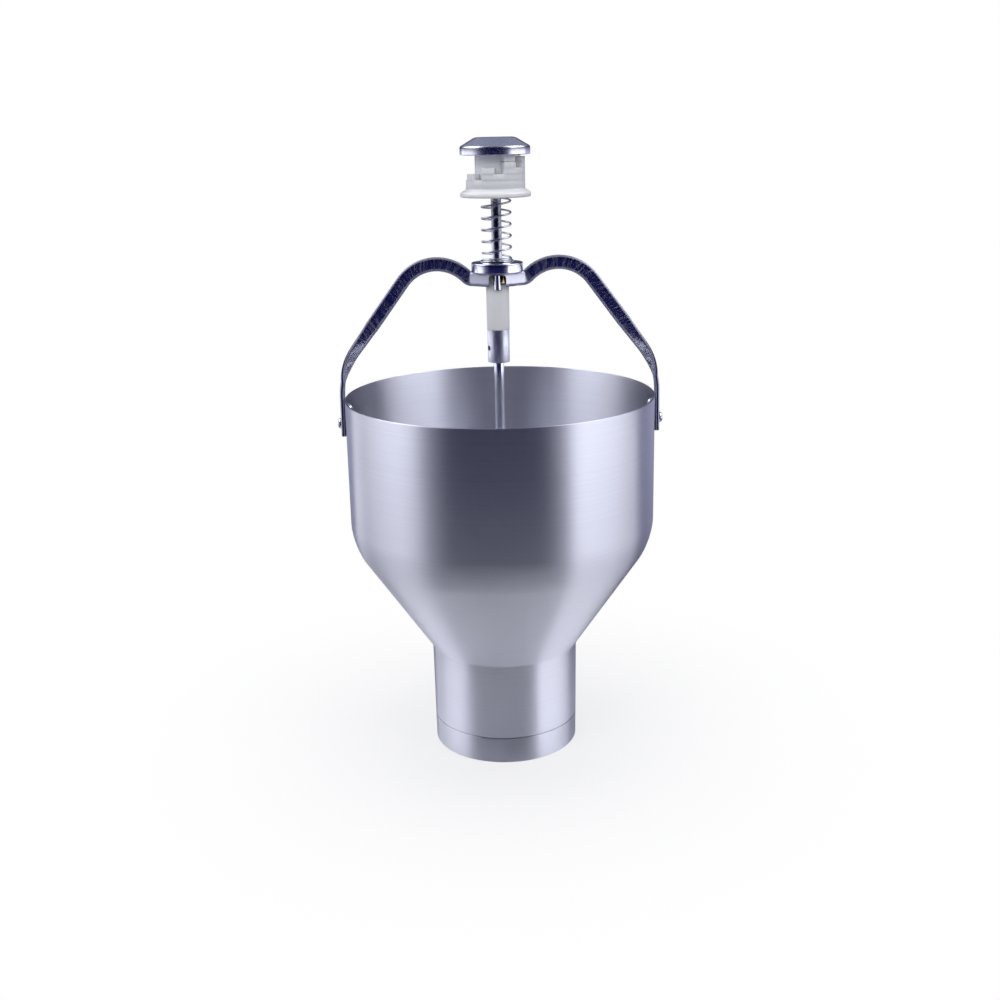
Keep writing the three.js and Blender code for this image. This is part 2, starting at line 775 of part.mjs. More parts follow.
function makeNut() {
  const nut = new THREE.CylinderGeometry(nutAcrossCorners / 2, nutAcrossCorners / 2, nutHeight, hexSides);
  nut.rotateX(Math.PI / 2);
  nut.translate(0, 0, nutBottomHeight + nutHeight / 2);
  const bore = new THREE.CylinderGeometry(rodBore, rodBore, nutHeight + 2 * overrun, turnedSegments / 2);
  bore.rotateX(Math.PI / 2);
  bore.translate(0, 0, nutBottomHeight + nutHeight / 2);
  return cut(nut, [bore]);
}

function makeBarrel() {
  const segments = Math.round(2 * Math.PI / arcStep);
  const inner = barrelRadius - barrelWall;
  const body = revolve([
    [inner, barrelBottomHeight], [barrelRadius, barrelBottomHeight], [barrelRadius, knobBottomHeight],
    [rodBore, knobBottomHeight], [rodBore, barrelRoofHeight], [inner, barrelRoofHeight],
  ], segments);
  const root = barrelRadius - barrelWall / 2;
  const tip = barrelRadius + lugReach;
  const foot = sector(root, tip, lugStartTurn, lugEndTurn, lugBottomHeight, knobBottomHeight);
  const arm = sector(root, tip, lugStartTurn, lugArmTurn, knobBottomHeight - lugArmHeight, knobBottomHeight);
  return join([body, foot, arm]);
}

function makeKnob() {
  const rimTop = knobBottomHeight + knobRimHeight;
  return revolve([
    [rodBore, knobBottomHeight], [knobRadius - knobRimEdge, knobBottomHeight],
    [knobRadius, knobBottomHeight + knobRimEdge], [knobRadius, rimTop, knobRimRounding, 2],
    [knobTopRadius, knobTopHeight, knobTopRounding, 3], [0, knobTopHeight],
    [0, rodTopHeight + runningGap], [rodBore, rodTopHeight + runningGap],
    [rodBore, knobBottomHeight],
  ], turnedSegments, false);
}

// Dial

function dialRingHeight() {
  return dialBottomHeight + dialRingLift;
}

// Stretches of the dial's top edge: each step has a flat for the lug, then a pocket one step lower
function dialStretches() {
  const stretches = [];
  for (let i = 1; i <= dialStepCount; i += 1) {
    const start = dialFirstRiser + (i - 1) * dialStepTurn;
    stretches.push({ start, end: start + dialFlatTurn, top: stepTop(i) });
    stretches.push({ start: start + dialFlatTurn, end: start + dialStepTurn, top: stepTop(i - 1) });
  }
  const end = dialFirstRiser + 2 * Math.PI;
  stretches.push({ start: dialFirstRiser + dialStepCount * dialStepTurn, end, top: dialLandTop });
  return stretches;
}

// A sleeve cut down to its stepped edge; each cutter reaches a little over any lower neighbour
function makeDial() {
  const segments = Math.round(2 * Math.PI / arcStep);
  const flangeTop = dialBottomHeight + dialFlangeHeight;
  const wallTop = stepTop(dialStepCount);
  const grooveFloor = barrelRadius + seatGap + 2 * dialRingSection + seatGap;
  const grooveHalf = dialRingSection + seatGap;
  const body = revolve([
    [dialBore, dialBottomHeight], [dialFlangeRadius, dialBottomHeight, dialFlangeEdge, 2],
    [dialFlangeRadius, flangeTop, dialFlareRounding, 3],
    [dialWallRadius, flangeTop + dialFlareHeight], [dialWallRadius, wallTop], [dialBore, wallTop],
    [dialBore, dialRingHeight() + grooveHalf], [grooveFloor, dialRingHeight() + grooveHalf],
    [grooveFloor, dialRingHeight() - grooveHalf], [dialBore, dialRingHeight() - grooveHalf],
  ], segments);
  const stretches = dialStretches();
  const cutters = [];
  stretches.forEach(({ start, end, top }, i) => {
    const before = stretches[(i + stretches.length - 1) % stretches.length].top;
    const after = stretches[(i + 1) % stretches.length].top;
    const from = before < top ? start - arcStep / 2 : start;
    const to = after < top ? end + arcStep / 2 : end;
    if (top < wallTop) {
      cutters.push(sector(dialBore - overrun, dialWallRadius + overrun, from, to, top, wallTop + overrun));
    }
  });
  return cut(body, cutters);
}

function makeDialRing() {
  return sealRing(barrelRadius + seatGap + dialRingSection, dialRingSection, dialRingHeight(), turnedSegments);
}

// Assembly

const group = new THREE.Group();

function place(name, geometry, colour, roughness, metalness) {
  geometry.computeVertexNormals();
  const material = new THREE.MeshStandardMaterial({ color: colour, roughness, metalness });
  const mesh = new THREE.Mesh(geometry, material);
  mesh.name = name;
  group.add(mesh);
}

const aluminium = [0xb9bbc6, 0.38, 1];
const polished = [0xc9cbd6, 0.12, 1];
const steel = [0xbfc1ca, 0.2, 1];
const nylon = [0xe4e4e6, 0.45, 0];
const brass = [0xb89a55, 0.3, 1];
const rubber = [0x3a3a3e, 0.8, 0];

place('hopper', makeHopper(), ...aluminium);
place('outlet_block', makeOutletBlock(), ...aluminium);
place('outlet_seal', makeOutletSeal(), ...rubber);
place('handle_strip_front', makeStrip(-1), ...polished);
place('handle_strip_back', makeStrip(1), ...polished);
place('rivet_upper_left', makeUpperRivet(-1), ...aluminium);
place('rivet_upper_right', makeUpperRivet(1), ...aluminium);
place('rivet_lower_left', makeLowerRivet(-1), ...aluminium);
place('rivet_lower_right', makeLowerRivet(1), ...aluminium);
place('hub_collar', makeCollar(), ...polished);
place('guide_bush', makeBush(), ...brass);
place('guide_pin', makePin(), ...steel);
place('return_spring', makeSpring(), ...steel);

place('plunger_rod', makeRod(), ...steel);
place('stop_sleeve', makeSleeve(), ...nylon);
place('ferrule', makeFerrule(), ...aluminium);
place('grub_screw', makeGrubScrew(), ...steel);
place('dosing_piston', makePiston(), ...nylon);
place('piston_seal', discSeal(pistonBottomHeight, pistonBottomHeight + pistonThickness), ...rubber);
place('spacer_tube', makeSpacer(), ...steel);
place('valve_disc', makeValveDisc(), ...nylon);
place('valve_seal', discSeal(valveBottomHeight, valveTopHeight), ...rubber);
place('bottom_nut', makeNut(), ...steel);
place('lug_barrel', makeBarrel(), ...nylon);
place('knob', makeKnob(), ...polished);

place('dial_ring', makeDialRing(), ...rubber);
place('dose_dial', makeDial(), ...nylon);

export default group;
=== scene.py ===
import math

import bmesh
import bpy
from mathutils import Matrix, Vector


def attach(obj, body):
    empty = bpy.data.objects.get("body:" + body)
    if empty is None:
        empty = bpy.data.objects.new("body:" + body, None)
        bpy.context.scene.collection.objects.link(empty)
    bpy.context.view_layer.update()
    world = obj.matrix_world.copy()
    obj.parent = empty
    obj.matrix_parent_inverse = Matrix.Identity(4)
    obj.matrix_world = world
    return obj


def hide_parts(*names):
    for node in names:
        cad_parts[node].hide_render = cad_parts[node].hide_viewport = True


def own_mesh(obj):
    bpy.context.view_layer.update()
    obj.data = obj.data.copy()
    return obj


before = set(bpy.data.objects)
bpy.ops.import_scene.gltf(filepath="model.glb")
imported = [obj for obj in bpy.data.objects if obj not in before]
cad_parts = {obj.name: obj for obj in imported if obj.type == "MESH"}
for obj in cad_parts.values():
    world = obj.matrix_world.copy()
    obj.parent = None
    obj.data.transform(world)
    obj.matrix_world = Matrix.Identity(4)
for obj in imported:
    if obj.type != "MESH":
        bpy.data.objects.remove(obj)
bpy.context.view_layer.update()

scene = bpy.context.scene
scene.view_settings.view_transform = "Standard"
MM = 0.001

# Camera
# A camera at chest height looks a little down on the dispenser, which stands on a table.
# It leans a degree, as the photograph does.
camera_lens = 45.75
camera_target = Vector((-1.18, 0, 167.85)) * MM
camera_distance = 844.4 * MM
camera_pitch = math.radians(16.37)
camera_roll = math.radians(1.16)

camera_data = bpy.data.cameras.new("camera")
camera_data.lens = camera_lens
camera_data.sensor_width = 36
camera_data.clip_start = 0.01
camera = bpy.data.objects.new("camera", camera_data)
scene.collection.objects.link(camera)
scene.camera = camera
level = Vector((1, 0, 0))
upright = Vector((0, math.sin(camera_pitch), math.cos(camera_pitch)))
forward = Vector((0, math.cos(camera_pitch), -math.sin(camera_pitch)))
right_side = level * math.cos(camera_roll) - upright * math.sin(camera_roll)
top_side = level * math.sin(camera_roll) + upright * math.cos(camera_roll)
turned = Matrix((right_side, top_side, -forward)).transposed().to_4x4()
camera.matrix_world = Matrix.Translation(camera_target - forward * camera_distance) @ turned

# Studio
# A round white table in front of a white backdrop. A round screen with two bright panels and dark
# gaps hangs beyond the camera, where only reflections show it, and soft lamps hang above.
table_radius = 0.9
screen_radius = 1.9
lamp_aim = Vector((0, 0, 0.2))
smooth_angle = math.radians(32)


def node(tree, kind, values=None, **settings):
    """Adds a shader node, links or sets its inputs by name or number, and sets its properties."""
    made = tree.nodes.new(kind)
    for key, value in settings.items():
        setattr(made, key, value)
    for key, value in (values or {}).items():
        if isinstance(value, bpy.types.NodeSocket):
            tree.links.new(value, made.inputs[key])
        else:
            made.inputs[key].default_value = value
    return made


def calculate(tree, operation, *values):
    """Works out one value from numbers and other nodes' results."""
    return node(tree, "ShaderNodeMath", dict(enumerate(values)), operation=operation).outputs[0]


def remap(tree, value, low, high, start=0.0, end=1.0, **settings):
    """Maps the range from low to high onto the range from start to end."""
    return node(tree, "ShaderNodeMapRange", {
        "Value": value, "From Min": low, "From Max": high, "To Min": start, "To Max": end,
    }, **settings).outputs[0]


def blend_colour(tree, share, first, second, **settings):
    """Mixes two colours. Each is a triple or another node's result."""
    values = {"Factor": share}
    for label, colour in (("A", first), ("B", second)):
        values[label] = (*colour, 1) if isinstance(colour, tuple) else colour
    return node(tree, "ShaderNodeMix", values, data_type="RGBA", **settings).outputs["Result"]


def ramp(tree, factor, stops):
    made = node(tree, "ShaderNodeValToRGB", {"Fac": factor})
    while len(made.color_ramp.elements) < len(stops):
        made.color_ramp.elements.new(0.5)
    for element, (position, colour) in zip(made.color_ramp.elements, stops):
        element.position = position
        element.color = (*colour, 1)
    return made.outputs["Color"]


def object_place(tree):
    return node(tree, "ShaderNodeTexCoord").outputs["Object"]


def split_axes(tree, place):
    return node(tree, "ShaderNodeSeparateXYZ", {0: place}).outputs


def new_material(name):
    made = bpy.data.materials.new(name)
    made.use_nodes = True
    made.node_tree.nodes.clear()
    return made, made.node_tree


def add_object(name, shape):
    """Makes a mesh object from a bmesh, smooth apart from its sharp edges, and frees the bmesh."""
    bmesh.ops.remove_doubles(shape, verts=shape.verts, dist=1e-6)
    for face in shape.faces:
        face.smooth = True
    for edge in shape.edges:
        edge.smooth = len(edge.link_faces) == 2 and edge.calc_face_angle(math.pi) < smooth_angle
    mesh = bpy.data.meshes.new(name)
    shape.to_mesh(mesh)
    shape.free()
    made = bpy.data.objects.new(name, mesh)
    scene.collection.objects.link(made)
    return made


world = bpy.data.worlds.new("studio")
scene.world = world
world.use_nodes = True
tree = world.node_tree
tree.nodes.clear()
path = node(tree, "ShaderNodeLightPath").outputs
seen = calculate(tree, "MAXIMUM", path["Is Camera Ray"], path["Is Glossy Ray"])
seen = calculate(tree, "MAXIMUM", seen, path["Is Transmission Ray"])
soft = node(tree, "ShaderNodeBackground", {"Color": (0.94, 0.96, 1, 1), "Strength": 0.5})
white = node(tree, "ShaderNodeBackground", {"Color": (1, 1, 1, 1), "Strength": 1})
mixed = node(tree, "ShaderNodeMixShader", {0: seen, 1: soft.outputs[0], 2: white.outputs[0]})
node(tree, "ShaderNodeOutputWorld", {"Surface": mixed.outputs[0]})

# The table looks plain, and glows towards its rim. In the metal it fades from white to dark and
# darkens behind the dispenser: painted shade, which the camera doesn't see.
material, tree = new_material("table_top")
path = node(tree, "ShaderNodeLightPath").outputs
seen = calculate(tree, "MAXIMUM", path["Is Camera Ray"], path["Is Transmission Ray"])
place = object_place(tree)
reach = node(tree, "ShaderNodeVectorMath", {0: place}, operation="LENGTH").outputs["Value"]
glowing = remap(tree, reach, 0.06, 0.3, 0.7, 1.0, interpolation_type="SMOOTHSTEP")
glowing = calculate(tree, "MULTIPLY", glowing, seen)
# Painted shade: the colour that glossy and bounced rays see darkens towards the rim and is dimmer
# behind the dispenser.
painted_reflection_shade = ramp(tree, remap(tree, reach, 0, 0.4), [
    (0.0, (0.92, 0.92, 1.0)), (0.24, (0.92, 0.92, 1.0)), (0.34, (0.98, 0.98, 1.0)),
    (0.44, (0.98, 0.98, 1.0)), (0.68, (0.06, 0.06, 0.11)),
])
behind = remap(tree, split_axes(tree, place)["Y"], 0, 0.1, 1.0, 0.55)
painted_reflection_shade = node(tree, "ShaderNodeVectorMath", {0: painted_reflection_shade, "Scale": behind}, operation="SCALE")
colour = blend_colour(tree, seen, painted_reflection_shade.outputs["Vector"], (0.85, 0.85, 0.87))
paint = node(tree, "ShaderNodeBsdfDiffuse", {"Color": colour})
facing = node(tree, "ShaderNodeLayerWeight", {"Blend": 0.5}).outputs["Facing"]
gloss = calculate(tree, "MULTIPLY", path["Is Glossy Ray"], calculate(tree, "POWER", facing, 2))
varnish = node(tree, "ShaderNodeBsdfGlossy", {"Color": (0.95, 0.95, 0.97, 1), "Roughness": 0.12})
board = node(tree, "ShaderNodeMixShader", {0: gloss, 1: paint.outputs[0], 2: varnish.outputs[0]})
glow = node(tree, "ShaderNodeEmission", {"Color": (1, 1, 1, 1), "Strength": 1})
lit = node(tree, "ShaderNodeMixShader", {0: glowing, 1: board.outputs[0], 2: glow.outputs[0]})
node(tree, "ShaderNodeOutputMaterial", {"Surface": lit.outputs[0]})
shape = bmesh.new()
bmesh.ops.create_circle(shape, cap_ends=True, segments=96, radius=table_radius)
table_top = add_object("table_top", shape)
table_top.data.materials.append(material)

# The screen's panels stand at shares of a turn: from behind by the left to the front, and on
left_panel = (1.36, 1.37, 1.53)
right_panel = (1.78, 1.79, 1.98)
panel_edge = (1.9, 1.91, 2.1)
half_dark = (0.16, 0.16, 0.27)
dark_gap = (0.008, 0.008, 0.07)
high_panel = (3.4, 3.45, 3.8)
high_gap = (0.02, 0.02, 0.06)
left_back = (0.5, 0.51, 0.7)
right_back = (0.52, 0.53, 0.74)
overhead = (0.26, 0.27, 0.37)
below_table = (0.5, 0.5, 0.5)
full_light = (1.0, 1.0, 1.0)
dim_band = (0.08, 0.08, 0.09)

material, tree = new_material("studio_screen")
axes = split_axes(tree, object_place(tree))
bearing = calculate(tree, "ARCTAN2", axes["X"], calculate(tree, "MULTIPLY", axes["Y"], -1))
share = remap(tree, bearing, -math.pi, math.pi)
panels = ramp(tree, share, [
    (0.0, left_back), (0.12, left_back), (0.133, panel_edge), (0.18, left_panel),
    (0.285, left_panel), (0.345, half_dark), (0.4, dark_gap), (0.58, dark_gap),
    (0.63, half_dark), (0.65, panel_edge), (0.69, right_panel), (0.805, right_panel),
    (0.83, right_back), (1.0, left_back),
])
high_panels = ramp(tree, share, [
    (0.0, overhead), (0.125, overhead), (0.15, high_panel), (0.3, high_panel),
    (0.335, high_gap), (0.632, high_gap), (0.665, high_panel), (0.81, high_panel),
    (0.835, overhead), (1.0, overhead),
])
height = remap(tree, axes["Z"], -screen_radius, screen_radius)
fade = ramp(tree, height, [
    (0.0, below_table), (0.213, below_table), (0.289, full_light), (0.578, full_light),
    (0.612, dim_band), (1.0, dim_band),
])
low_panels = blend_colour(tree, 1.0, panels, fade, blend_type="MULTIPLY")
walls = blend_colour(tree, remap(tree, height, 0.74, 0.78), low_panels, high_panels)
over = blend_colour(tree, remap(tree, height, 0.93, 0.98), walls, overhead)
glow = node(tree, "ShaderNodeEmission", {"Color": over, "Strength": 1})
node(tree, "ShaderNodeOutputMaterial", {"Surface": glow.outputs[0]})
shape = bmesh.new()
bmesh.ops.create_uvsphere(shape, u_segments=96, v_segments=48, radius=screen_radius)
screen = add_object("studio_screen", shape)
screen.data.materials.append(material)
screen.visible_camera = False
screen.visible_diffuse = False
screen.visible_shadow = False
screen.visible_transmission = False

for name, spot, size, power in (
    ("left_lamp", (-0.9, -1.1, 1.3), 0.9, 9),
    ("right_lamp", (1.0, -0.9, 1.2), 0.8, 6),
    ("top_lamp", (0.0, 0.15, 1.5), 1.1, 9),
):
    lamp = bpy.data.lights.new(name, "AREA")
    lamp.size = size
    lamp.energy = power
    made = bpy.data.objects.new(name, lamp)
    scene.collection.objects.link(made)
    made.location = spot
    made.rotation_euler = (lamp_aim - Vector(spot)).to_track_quat("-Z", "Y").to_euler()
    made.visible_glossy = False

# Hopper
# The funnel is spun from aluminium sheet over a former: a straight cylinder, a rounded shoulder,
# a cone and a neck. The wall is 1.2 mm and its brushing runs round the axis.
mouth_radius = 100
rim_height = 239.5
rim_rounding = 0.35
sharp_angle = 1
hopper_wall = 1.2
shoulder_corner = 145.3
shoulder_setback = 12.8
neck_top_radius = 48.9
neck_bottom_radius = 48.5
neck_corner = 69.2
neck_setback = 0.8
hopper_foot = 17.85


def profile(shape, corners, is_ring=True):
    """Draws a section in the XZ plane. Corners are (radius, height, rounding setback, steps)."""
    points = [shape.verts.new((corner[0] * MM, 0, corner[1] * MM)) for corner in corners]
    for first, second in zip(points, points[1:]):
        shape.edges.new((first, second))
    if is_ring:
        shape.edges.new((points[-1], points[0]))
    for point, corner in zip(points, corners):
        if len(corner) > 2:
            bmesh.ops.bevel(shape, geom=[point], offset=corner[2] * MM, offset_type="OFFSET",
                            segments=corner[3] if len(corner) > 3 else 4, profile=0.5,
                            affect="VERTICES", material=-1)
    return shape


def turn(shape, steps=96):
    """Spins a section all the way round the axis, like a part on a lathe."""
    bmesh.ops.spin(shape, geom=shape.verts[:] + shape.edges[:], cent=(0, 0, 0), axis=(0, 0, 1),
                   angle=2 * math.pi, steps=steps, use_merge=True)
    bmesh.ops.remove_doubles(shape, verts=shape.verts, dist=1e-6)
    bmesh.ops.dissolve_degenerate(shape, edges=shape.edges, dist=1e-7)
    bmesh.ops.recalc_face_normals(shape, faces=shape.faces)
    return shape


def soften(shape, edges, setback, steps, **settings):
    """Rounds some edges."""
    bmesh.ops.bevel(shape, geom=edges, offset=setback * MM, segments=steps, profile=0.5,
                    affect="EDGES", material=-1, **settings)


def finish(name, shape, body, replaced, material):
    """Gives a finished piece its material, its body and the plain part that it stands for."""
    piece = add_object(name, shape)
    piece.data.materials.append(material)
    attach(piece, body)
    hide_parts(replaced)
    return piece


def group_tree(name, inputs, outputs):
    tree = bpy.data.node_groups.new(name, "ShaderNodeTree")
    for label, value in inputs:
        socket = tree.interface.new_socket(name=label, in_out="INPUT",
                                           socket_type="NodeSocketFloat")
        socket.default_value = value
    for label in outputs:
        tree.interface.new_socket(name=label, in_out="OUTPUT", socket_type="NodeSocketFloat")
    given = tree.nodes.new("NodeGroupInput").outputs
    return tree, given, tree.nodes.new("NodeGroupOutput").inputs


def noise(tree, place, scale, detail, **values):
    return node(tree, "ShaderNodeTexNoise", {
        "Vector": place, "Scale": scale, "Detail": detail, **values}).outputs["Fac"]


def stretch(tree, place, *scales):
    return node(tree, "ShaderNodeMapping", {"Vector": place, "Scale": scales}).outputs[0]


def swivel(tree, place, axis, angle):
    return node(tree, "ShaderNodeVectorRotate", {"Vector": place, "Axis": axis, "Angle": angle},
                rotation_type="AXIS_ANGLE").outputs[0]


# Turning marks: fine rings round the axis, from noise that is stretched far along the turn
ring_slope = 0.73
turning_marks, given, result = group_tree(
    "turning_marks", [("Rings", 9000.0), ("Wander", 14.0)], ["Grain", "Height"])
axes = split_axes(turning_marks, object_place(turning_marks))
flat = node(turning_marks, "ShaderNodeCombineXYZ", {0: axes["X"], 1: axes["Y"]})
reach = node(turning_marks, "ShaderNodeVectorMath", {0: flat.outputs[0]}, operation="LENGTH")
slope = calculate(turning_marks, "MULTIPLY_ADD", reach.outputs["Value"], ring_slope, axes["Z"])
spread = node(turning_marks, "ShaderNodeCombineXYZ", {
    0: calculate(turning_marks, "MULTIPLY", axes["X"], given["Wander"]),
    1: calculate(turning_marks, "MULTIPLY", axes["Y"], given["Wander"]),
    2: calculate(turning_marks, "MULTIPLY", slope, given["Rings"]),
}).outputs[0]
fine = noise(turning_marks, spread, 1.0, 3.0)
both = calculate(turning_marks, "ADD", fine, noise(turning_marks, spread, 0.13, 2.0))
grain = calculate(turning_marks, "MULTIPLY", both, 0.5)
turning_marks.links.new(grain, result["Grain"])
turning_marks.links.new(fine, result["Height"])

# Handling marks: faint cloudy smudges and a few short scuffs
handling_marks, given, result = group_tree(
    "handling_marks", [("Cloud Size", 22.0), ("Scuffs", 0.5)], ["Mask"])
place = object_place(handling_marks)
cloud = noise(handling_marks, place, given["Cloud Size"], 4.0, Roughness=0.6)
cloud = remap(handling_marks, cloud, 0.42, 0.72)
scuff = stretch(handling_marks, swivel(handling_marks, place, (0.4, 0.7, 0.6), 0.8), 1400, 90, 90)
scuff = remap(handling_marks, noise(handling_marks, scuff, 1.0, 2.0), 0.66, 0.74)
scuff = calculate(handling_marks, "MULTIPLY", scuff, given["Scuffs"])
marks = calculate(handling_marks, "MAXIMUM", cloud, scuff)
handling_marks.links.new(marks, result["Mask"])


def use_group(tree, group, values):
    made = node(tree, "ShaderNodeGroup", node_tree=group)
    for key, value in values.items():
        made.inputs[key].default_value = value
    return made.outputs


def add_turning_marks(tree, rings, wander):
    return use_group(tree, turning_marks, {"Rings": rings, "Wander": wander})


def add_smudges(tree, cloud_size, scuffs):
    return use_group(tree, handling_marks, {"Cloud Size": cloud_size, "Scuffs": scuffs})["Mask"]


def span(tree, value, low, high):
    """Turns a share from 0 to 1 into a range."""
    return remap(tree, value, 0.0, 1.0, low, high)


def relief(tree, height, strength, distance):
    return node(tree, "ShaderNodeBump", {
        "Height": height, "Strength": strength, "Distance": distance}).outputs[0]


def set_surface(tree, values):
    shader = node(tree, "ShaderNodeBsdfPrincipled", values)
    node(tree, "ShaderNodeOutputMaterial", {"Surface": shader.outputs[0]})


def brushed(tree):
    """Stretches the gloss across brushing that runs round the axis."""
    around = node(tree, "ShaderNodeTangent", direction_type="RADIAL", axis="Z").outputs[0]
    return {"Anisotropic": 1.0, "Anisotropic Rotation": 0.25, "Tangent": around}


spun_aluminium, tree = new_material("spun_aluminium")
marks = add_turning_marks(tree, 5200.0, 9.0)
wear = span(tree, add_smudges(tree, 13.0, 0.25), 0, 0.04)
set_surface(tree, {
    "Base Color": blend_colour(tree, marks["Grain"], (0.7, 0.7, 0.76), (0.86, 0.87, 0.93)),
    "Metallic": 1.0,
    "Roughness": calculate(tree, "ADD", span(tree, marks["Grain"], 0.36, 0.46), wear),
    "Normal": relief(tree, marks["Height"], 0.12, 0.00004), **brushed(tree),
})

shape = profile(bmesh.new(), [
    (mouth_radius, rim_height), (mouth_radius, shoulder_corner, shoulder_setback, 24),
    (neck_top_radius, neck_corner, neck_setback, 5), (neck_bottom_radius, hopper_foot),
], is_ring=False)
turn(shape, 160)
for face in shape.faces:
    outwards = face.calc_center_median()
    if face.normal.dot(Vector((outwards.x, outwards.y, 0))) < 0:
        face.normal_flip()
bmesh.ops.solidify(shape, geom=shape.faces[:], thickness=hopper_wall * MM)
rims = [edge for edge in shape.edges if edge.calc_face_angle(0) > sharp_angle and (
    min(vert.co.z for vert in edge.verts) > (rim_height - 0.1) * MM
    or max(vert.co.z for vert in edge.verts) < (hopper_foot + 0.1) * MM)]
soften(shape, rims, rim_rounding, 3)
finish("hopper_shell", shape, "funnel", "hopper", spun_aluminium)

# Outlet block and its seal
# A turned aluminium block is pushed up into the neck with a rubber ring round it. Its lower ring
# shows under the hopper's edge, past a thin groove.
dosing_bore = 25.3
exit_radius = 43.5
groove_radius = 44.6
groove_bottom = 28.75
groove_top = 31.25
block_corners = [
    (48.3, 0, 0.5, 3), (48.5, 17.35, 0.4, 3), (46.98, 17.35), (46.99, groove_bottom),
    (groove_radius, groove_bottom), (groove_radius, groove_top), (46.99, groove_top),
    (47.3, 69.66), (57.2, 84, 0.3, 2), (56.0, 84), (dosing_bore, 62, 1.6, 5), (dosing_bore, 34),
    (exit_radius, 16, 1.4, 5), (exit_radius, 0, 0.4, 3),
]
seal_middle = 46.03
seal_thickness = 1.1


def turned_metal(name, rings, shine, wear, smudges, bump, colours, is_brushed=False):
    """A turned metal. Shine is its roughness from the grain, and wear what smudges add to it."""
    made, tree = new_material(name)
    marks = add_turning_marks(tree, *rings)
    smudge = add_smudges(tree, *smudges)
    rough = span(tree, marks["Grain"], *shine)
    if wear:
        rough = calculate(tree, "ADD", rough, span(tree, smudge, 0, wear))
    set_surface(tree, {
        "Base Color": blend_colour(tree, smudge, *colours), "Metallic": 1.0, "Roughness": rough,
        "Normal": relief(tree, marks["Height"], *bump), **(brushed(tree) if is_brushed else {}),
    })
    return made


turned_aluminium = turned_metal(
    "turned_aluminium", rings=(3800.0, 20.0), shine=(0.34, 0.46), wear=0.08, smudges=(30.0, 0.4),
    bump=(0.25, 0.00005), colours=((0.74, 0.75, 0.8), (0.68, 0.69, 0.74)), is_brushed=True)
finish("outlet_block_turned", turn(profile(bmesh.new(), block_corners), 128), "funnel",
       "outlet_block", turned_aluminium)

black_rubber, tree = new_material("black_rubber")
bloom = noise(tree, object_place(tree), 260.0, 4.0)
set_surface(tree, {
    "Base Color": blend_colour(tree, bloom, (0.012, 0.012, 0.013), (0.035, 0.035, 0.038)),
    "Roughness": span(tree, bloom, 0.55, 0.8), "Normal": relief(tree, bloom, 0.2, 0.00008),
})


def move(shape, x, y, z):
    bmesh.ops.translate(shape, verts=shape.verts, vec=(x * MM, y * MM, z * MM))


def swing(shape, angle, axis):
    bmesh.ops.rotate(shape, verts=shape.verts, cent=(0, 0, 0),
                     matrix=Matrix.Rotation(angle, 3, axis))


def ring_seal(name, body, replaced, middle, section, height):
    """A rubber ring of round section."""
    shape = bmesh.new()
    bmesh.ops.create_circle(shape, segments=16, radius=section * MM)
    swing(shape, math.pi / 2, "X")
    move(shape, middle, 0, height)
    return finish(name, turn(shape, 96), body, replaced, black_rubber)


ring_seal("neck_seal", "funnel", "outlet_seal", seal_middle, seal_thickness,
          (groove_bottom + groove_top) / 2)

# Handle strips
# Two polished steel strips lie back to back. They stand on edge over the mouth, bow apart round
# the hub, and turn a quarter at the elbows to lie flat on the wall, where rivets hold them.
strip_thickness = 1.35
strip_height = 8.8
seam_half_gap = 0.15
pack_half = seam_half_gap + strip_thickness
hub_bar_height = 313.9
crease_offset = 18.1
crease_bend = 2.2
hub_sagitta = 10
eye_radius = 9
arch_radius = 26.7
arch_drop = 17.15
elbow_height = 256.5
elbow_radius = 50
twist_bottom = 250
twist_length = 34
twist_easing = 1.6
upper_shoulder = 1.2
lower_shoulder = 1.5
shoulder_depth = 0.75
pressed_setback = 0.7
edge_setback = 0.3
narrow_bottom = 252
narrow_length = 34
narrowing = 1.3
tab_middle = 101.8
tab_bottom = 214.2
tab_end_width = 14.6
tab_corner = 3
tab_end_rounding = 0.12
notch_width = 10.9
notch_length = 40
notch_depth = 7.2
notch_fillet = 2
upper_margin = strip_height / 2 - upper_shoulder
lower_margin = strip_height / 2 - lower_shoulder
margin_fade = (-0.1, 0.2)
hatch_start = (18, 20.5)
seam_shade_and_dirt = (0.35, 0.55)

# Hatching runs across each arm between two smooth margins, whose lavender tone is painted sheen.
# The seam between the strips is darkened: painted shade, with some dirt.
polished_strip, tree = new_material("polished_strip")
route = node(tree, "ShaderNodeAttribute", attribute_name="route").outputs["Vector"]
along = split_axes(tree, route)
hatch = noise(tree, stretch(tree, route, 980, 26, 26), 1.0, 2.0)
slant = stretch(tree, swivel(tree, route, (0, 0, 1), 0.35), 620, 50, 50)
lines = calculate(tree, "MAXIMUM", hatch, noise(tree, slant, 1.0, 2.0))
lines = remap(tree, lines, 0.46, 0.66)
worn = remap(tree, noise(tree, route, 110.0, 3.0), 0.3, 0.6, 0.6, 1.0)
lines = calculate(tree, "MULTIPLY", lines, worn)
above = remap(tree, along["Y"], *[(upper_margin + past) * MM for past in margin_fade])
below = remap(tree, along["Y"], *[-(lower_margin + past) * MM for past in margin_fade])
margin = calculate(tree, "MAXIMUM", above, below)
aside = calculate(tree, "ABSOLUTE", split_axes(tree, object_place(tree))["X"])
flank = remap(tree, aside, hatch_start[1] * MM, hatch_start[0] * MM)
smooth = calculate(tree, "MAXIMUM", margin, flank)
hatched = calculate(tree, "SUBTRACT", 1, smooth)
lines = calculate(tree, "MULTIPLY", lines, hatched)
smudge = add_smudges(tree, 60.0, 0.6)
rough = calculate(tree, "ADD", span(tree, lines, 0.1, 0.48), span(tree, smooth, 0, 0.24))
rough = calculate(tree, "ADD", rough, span(tree, smudge, 0, 0.05))
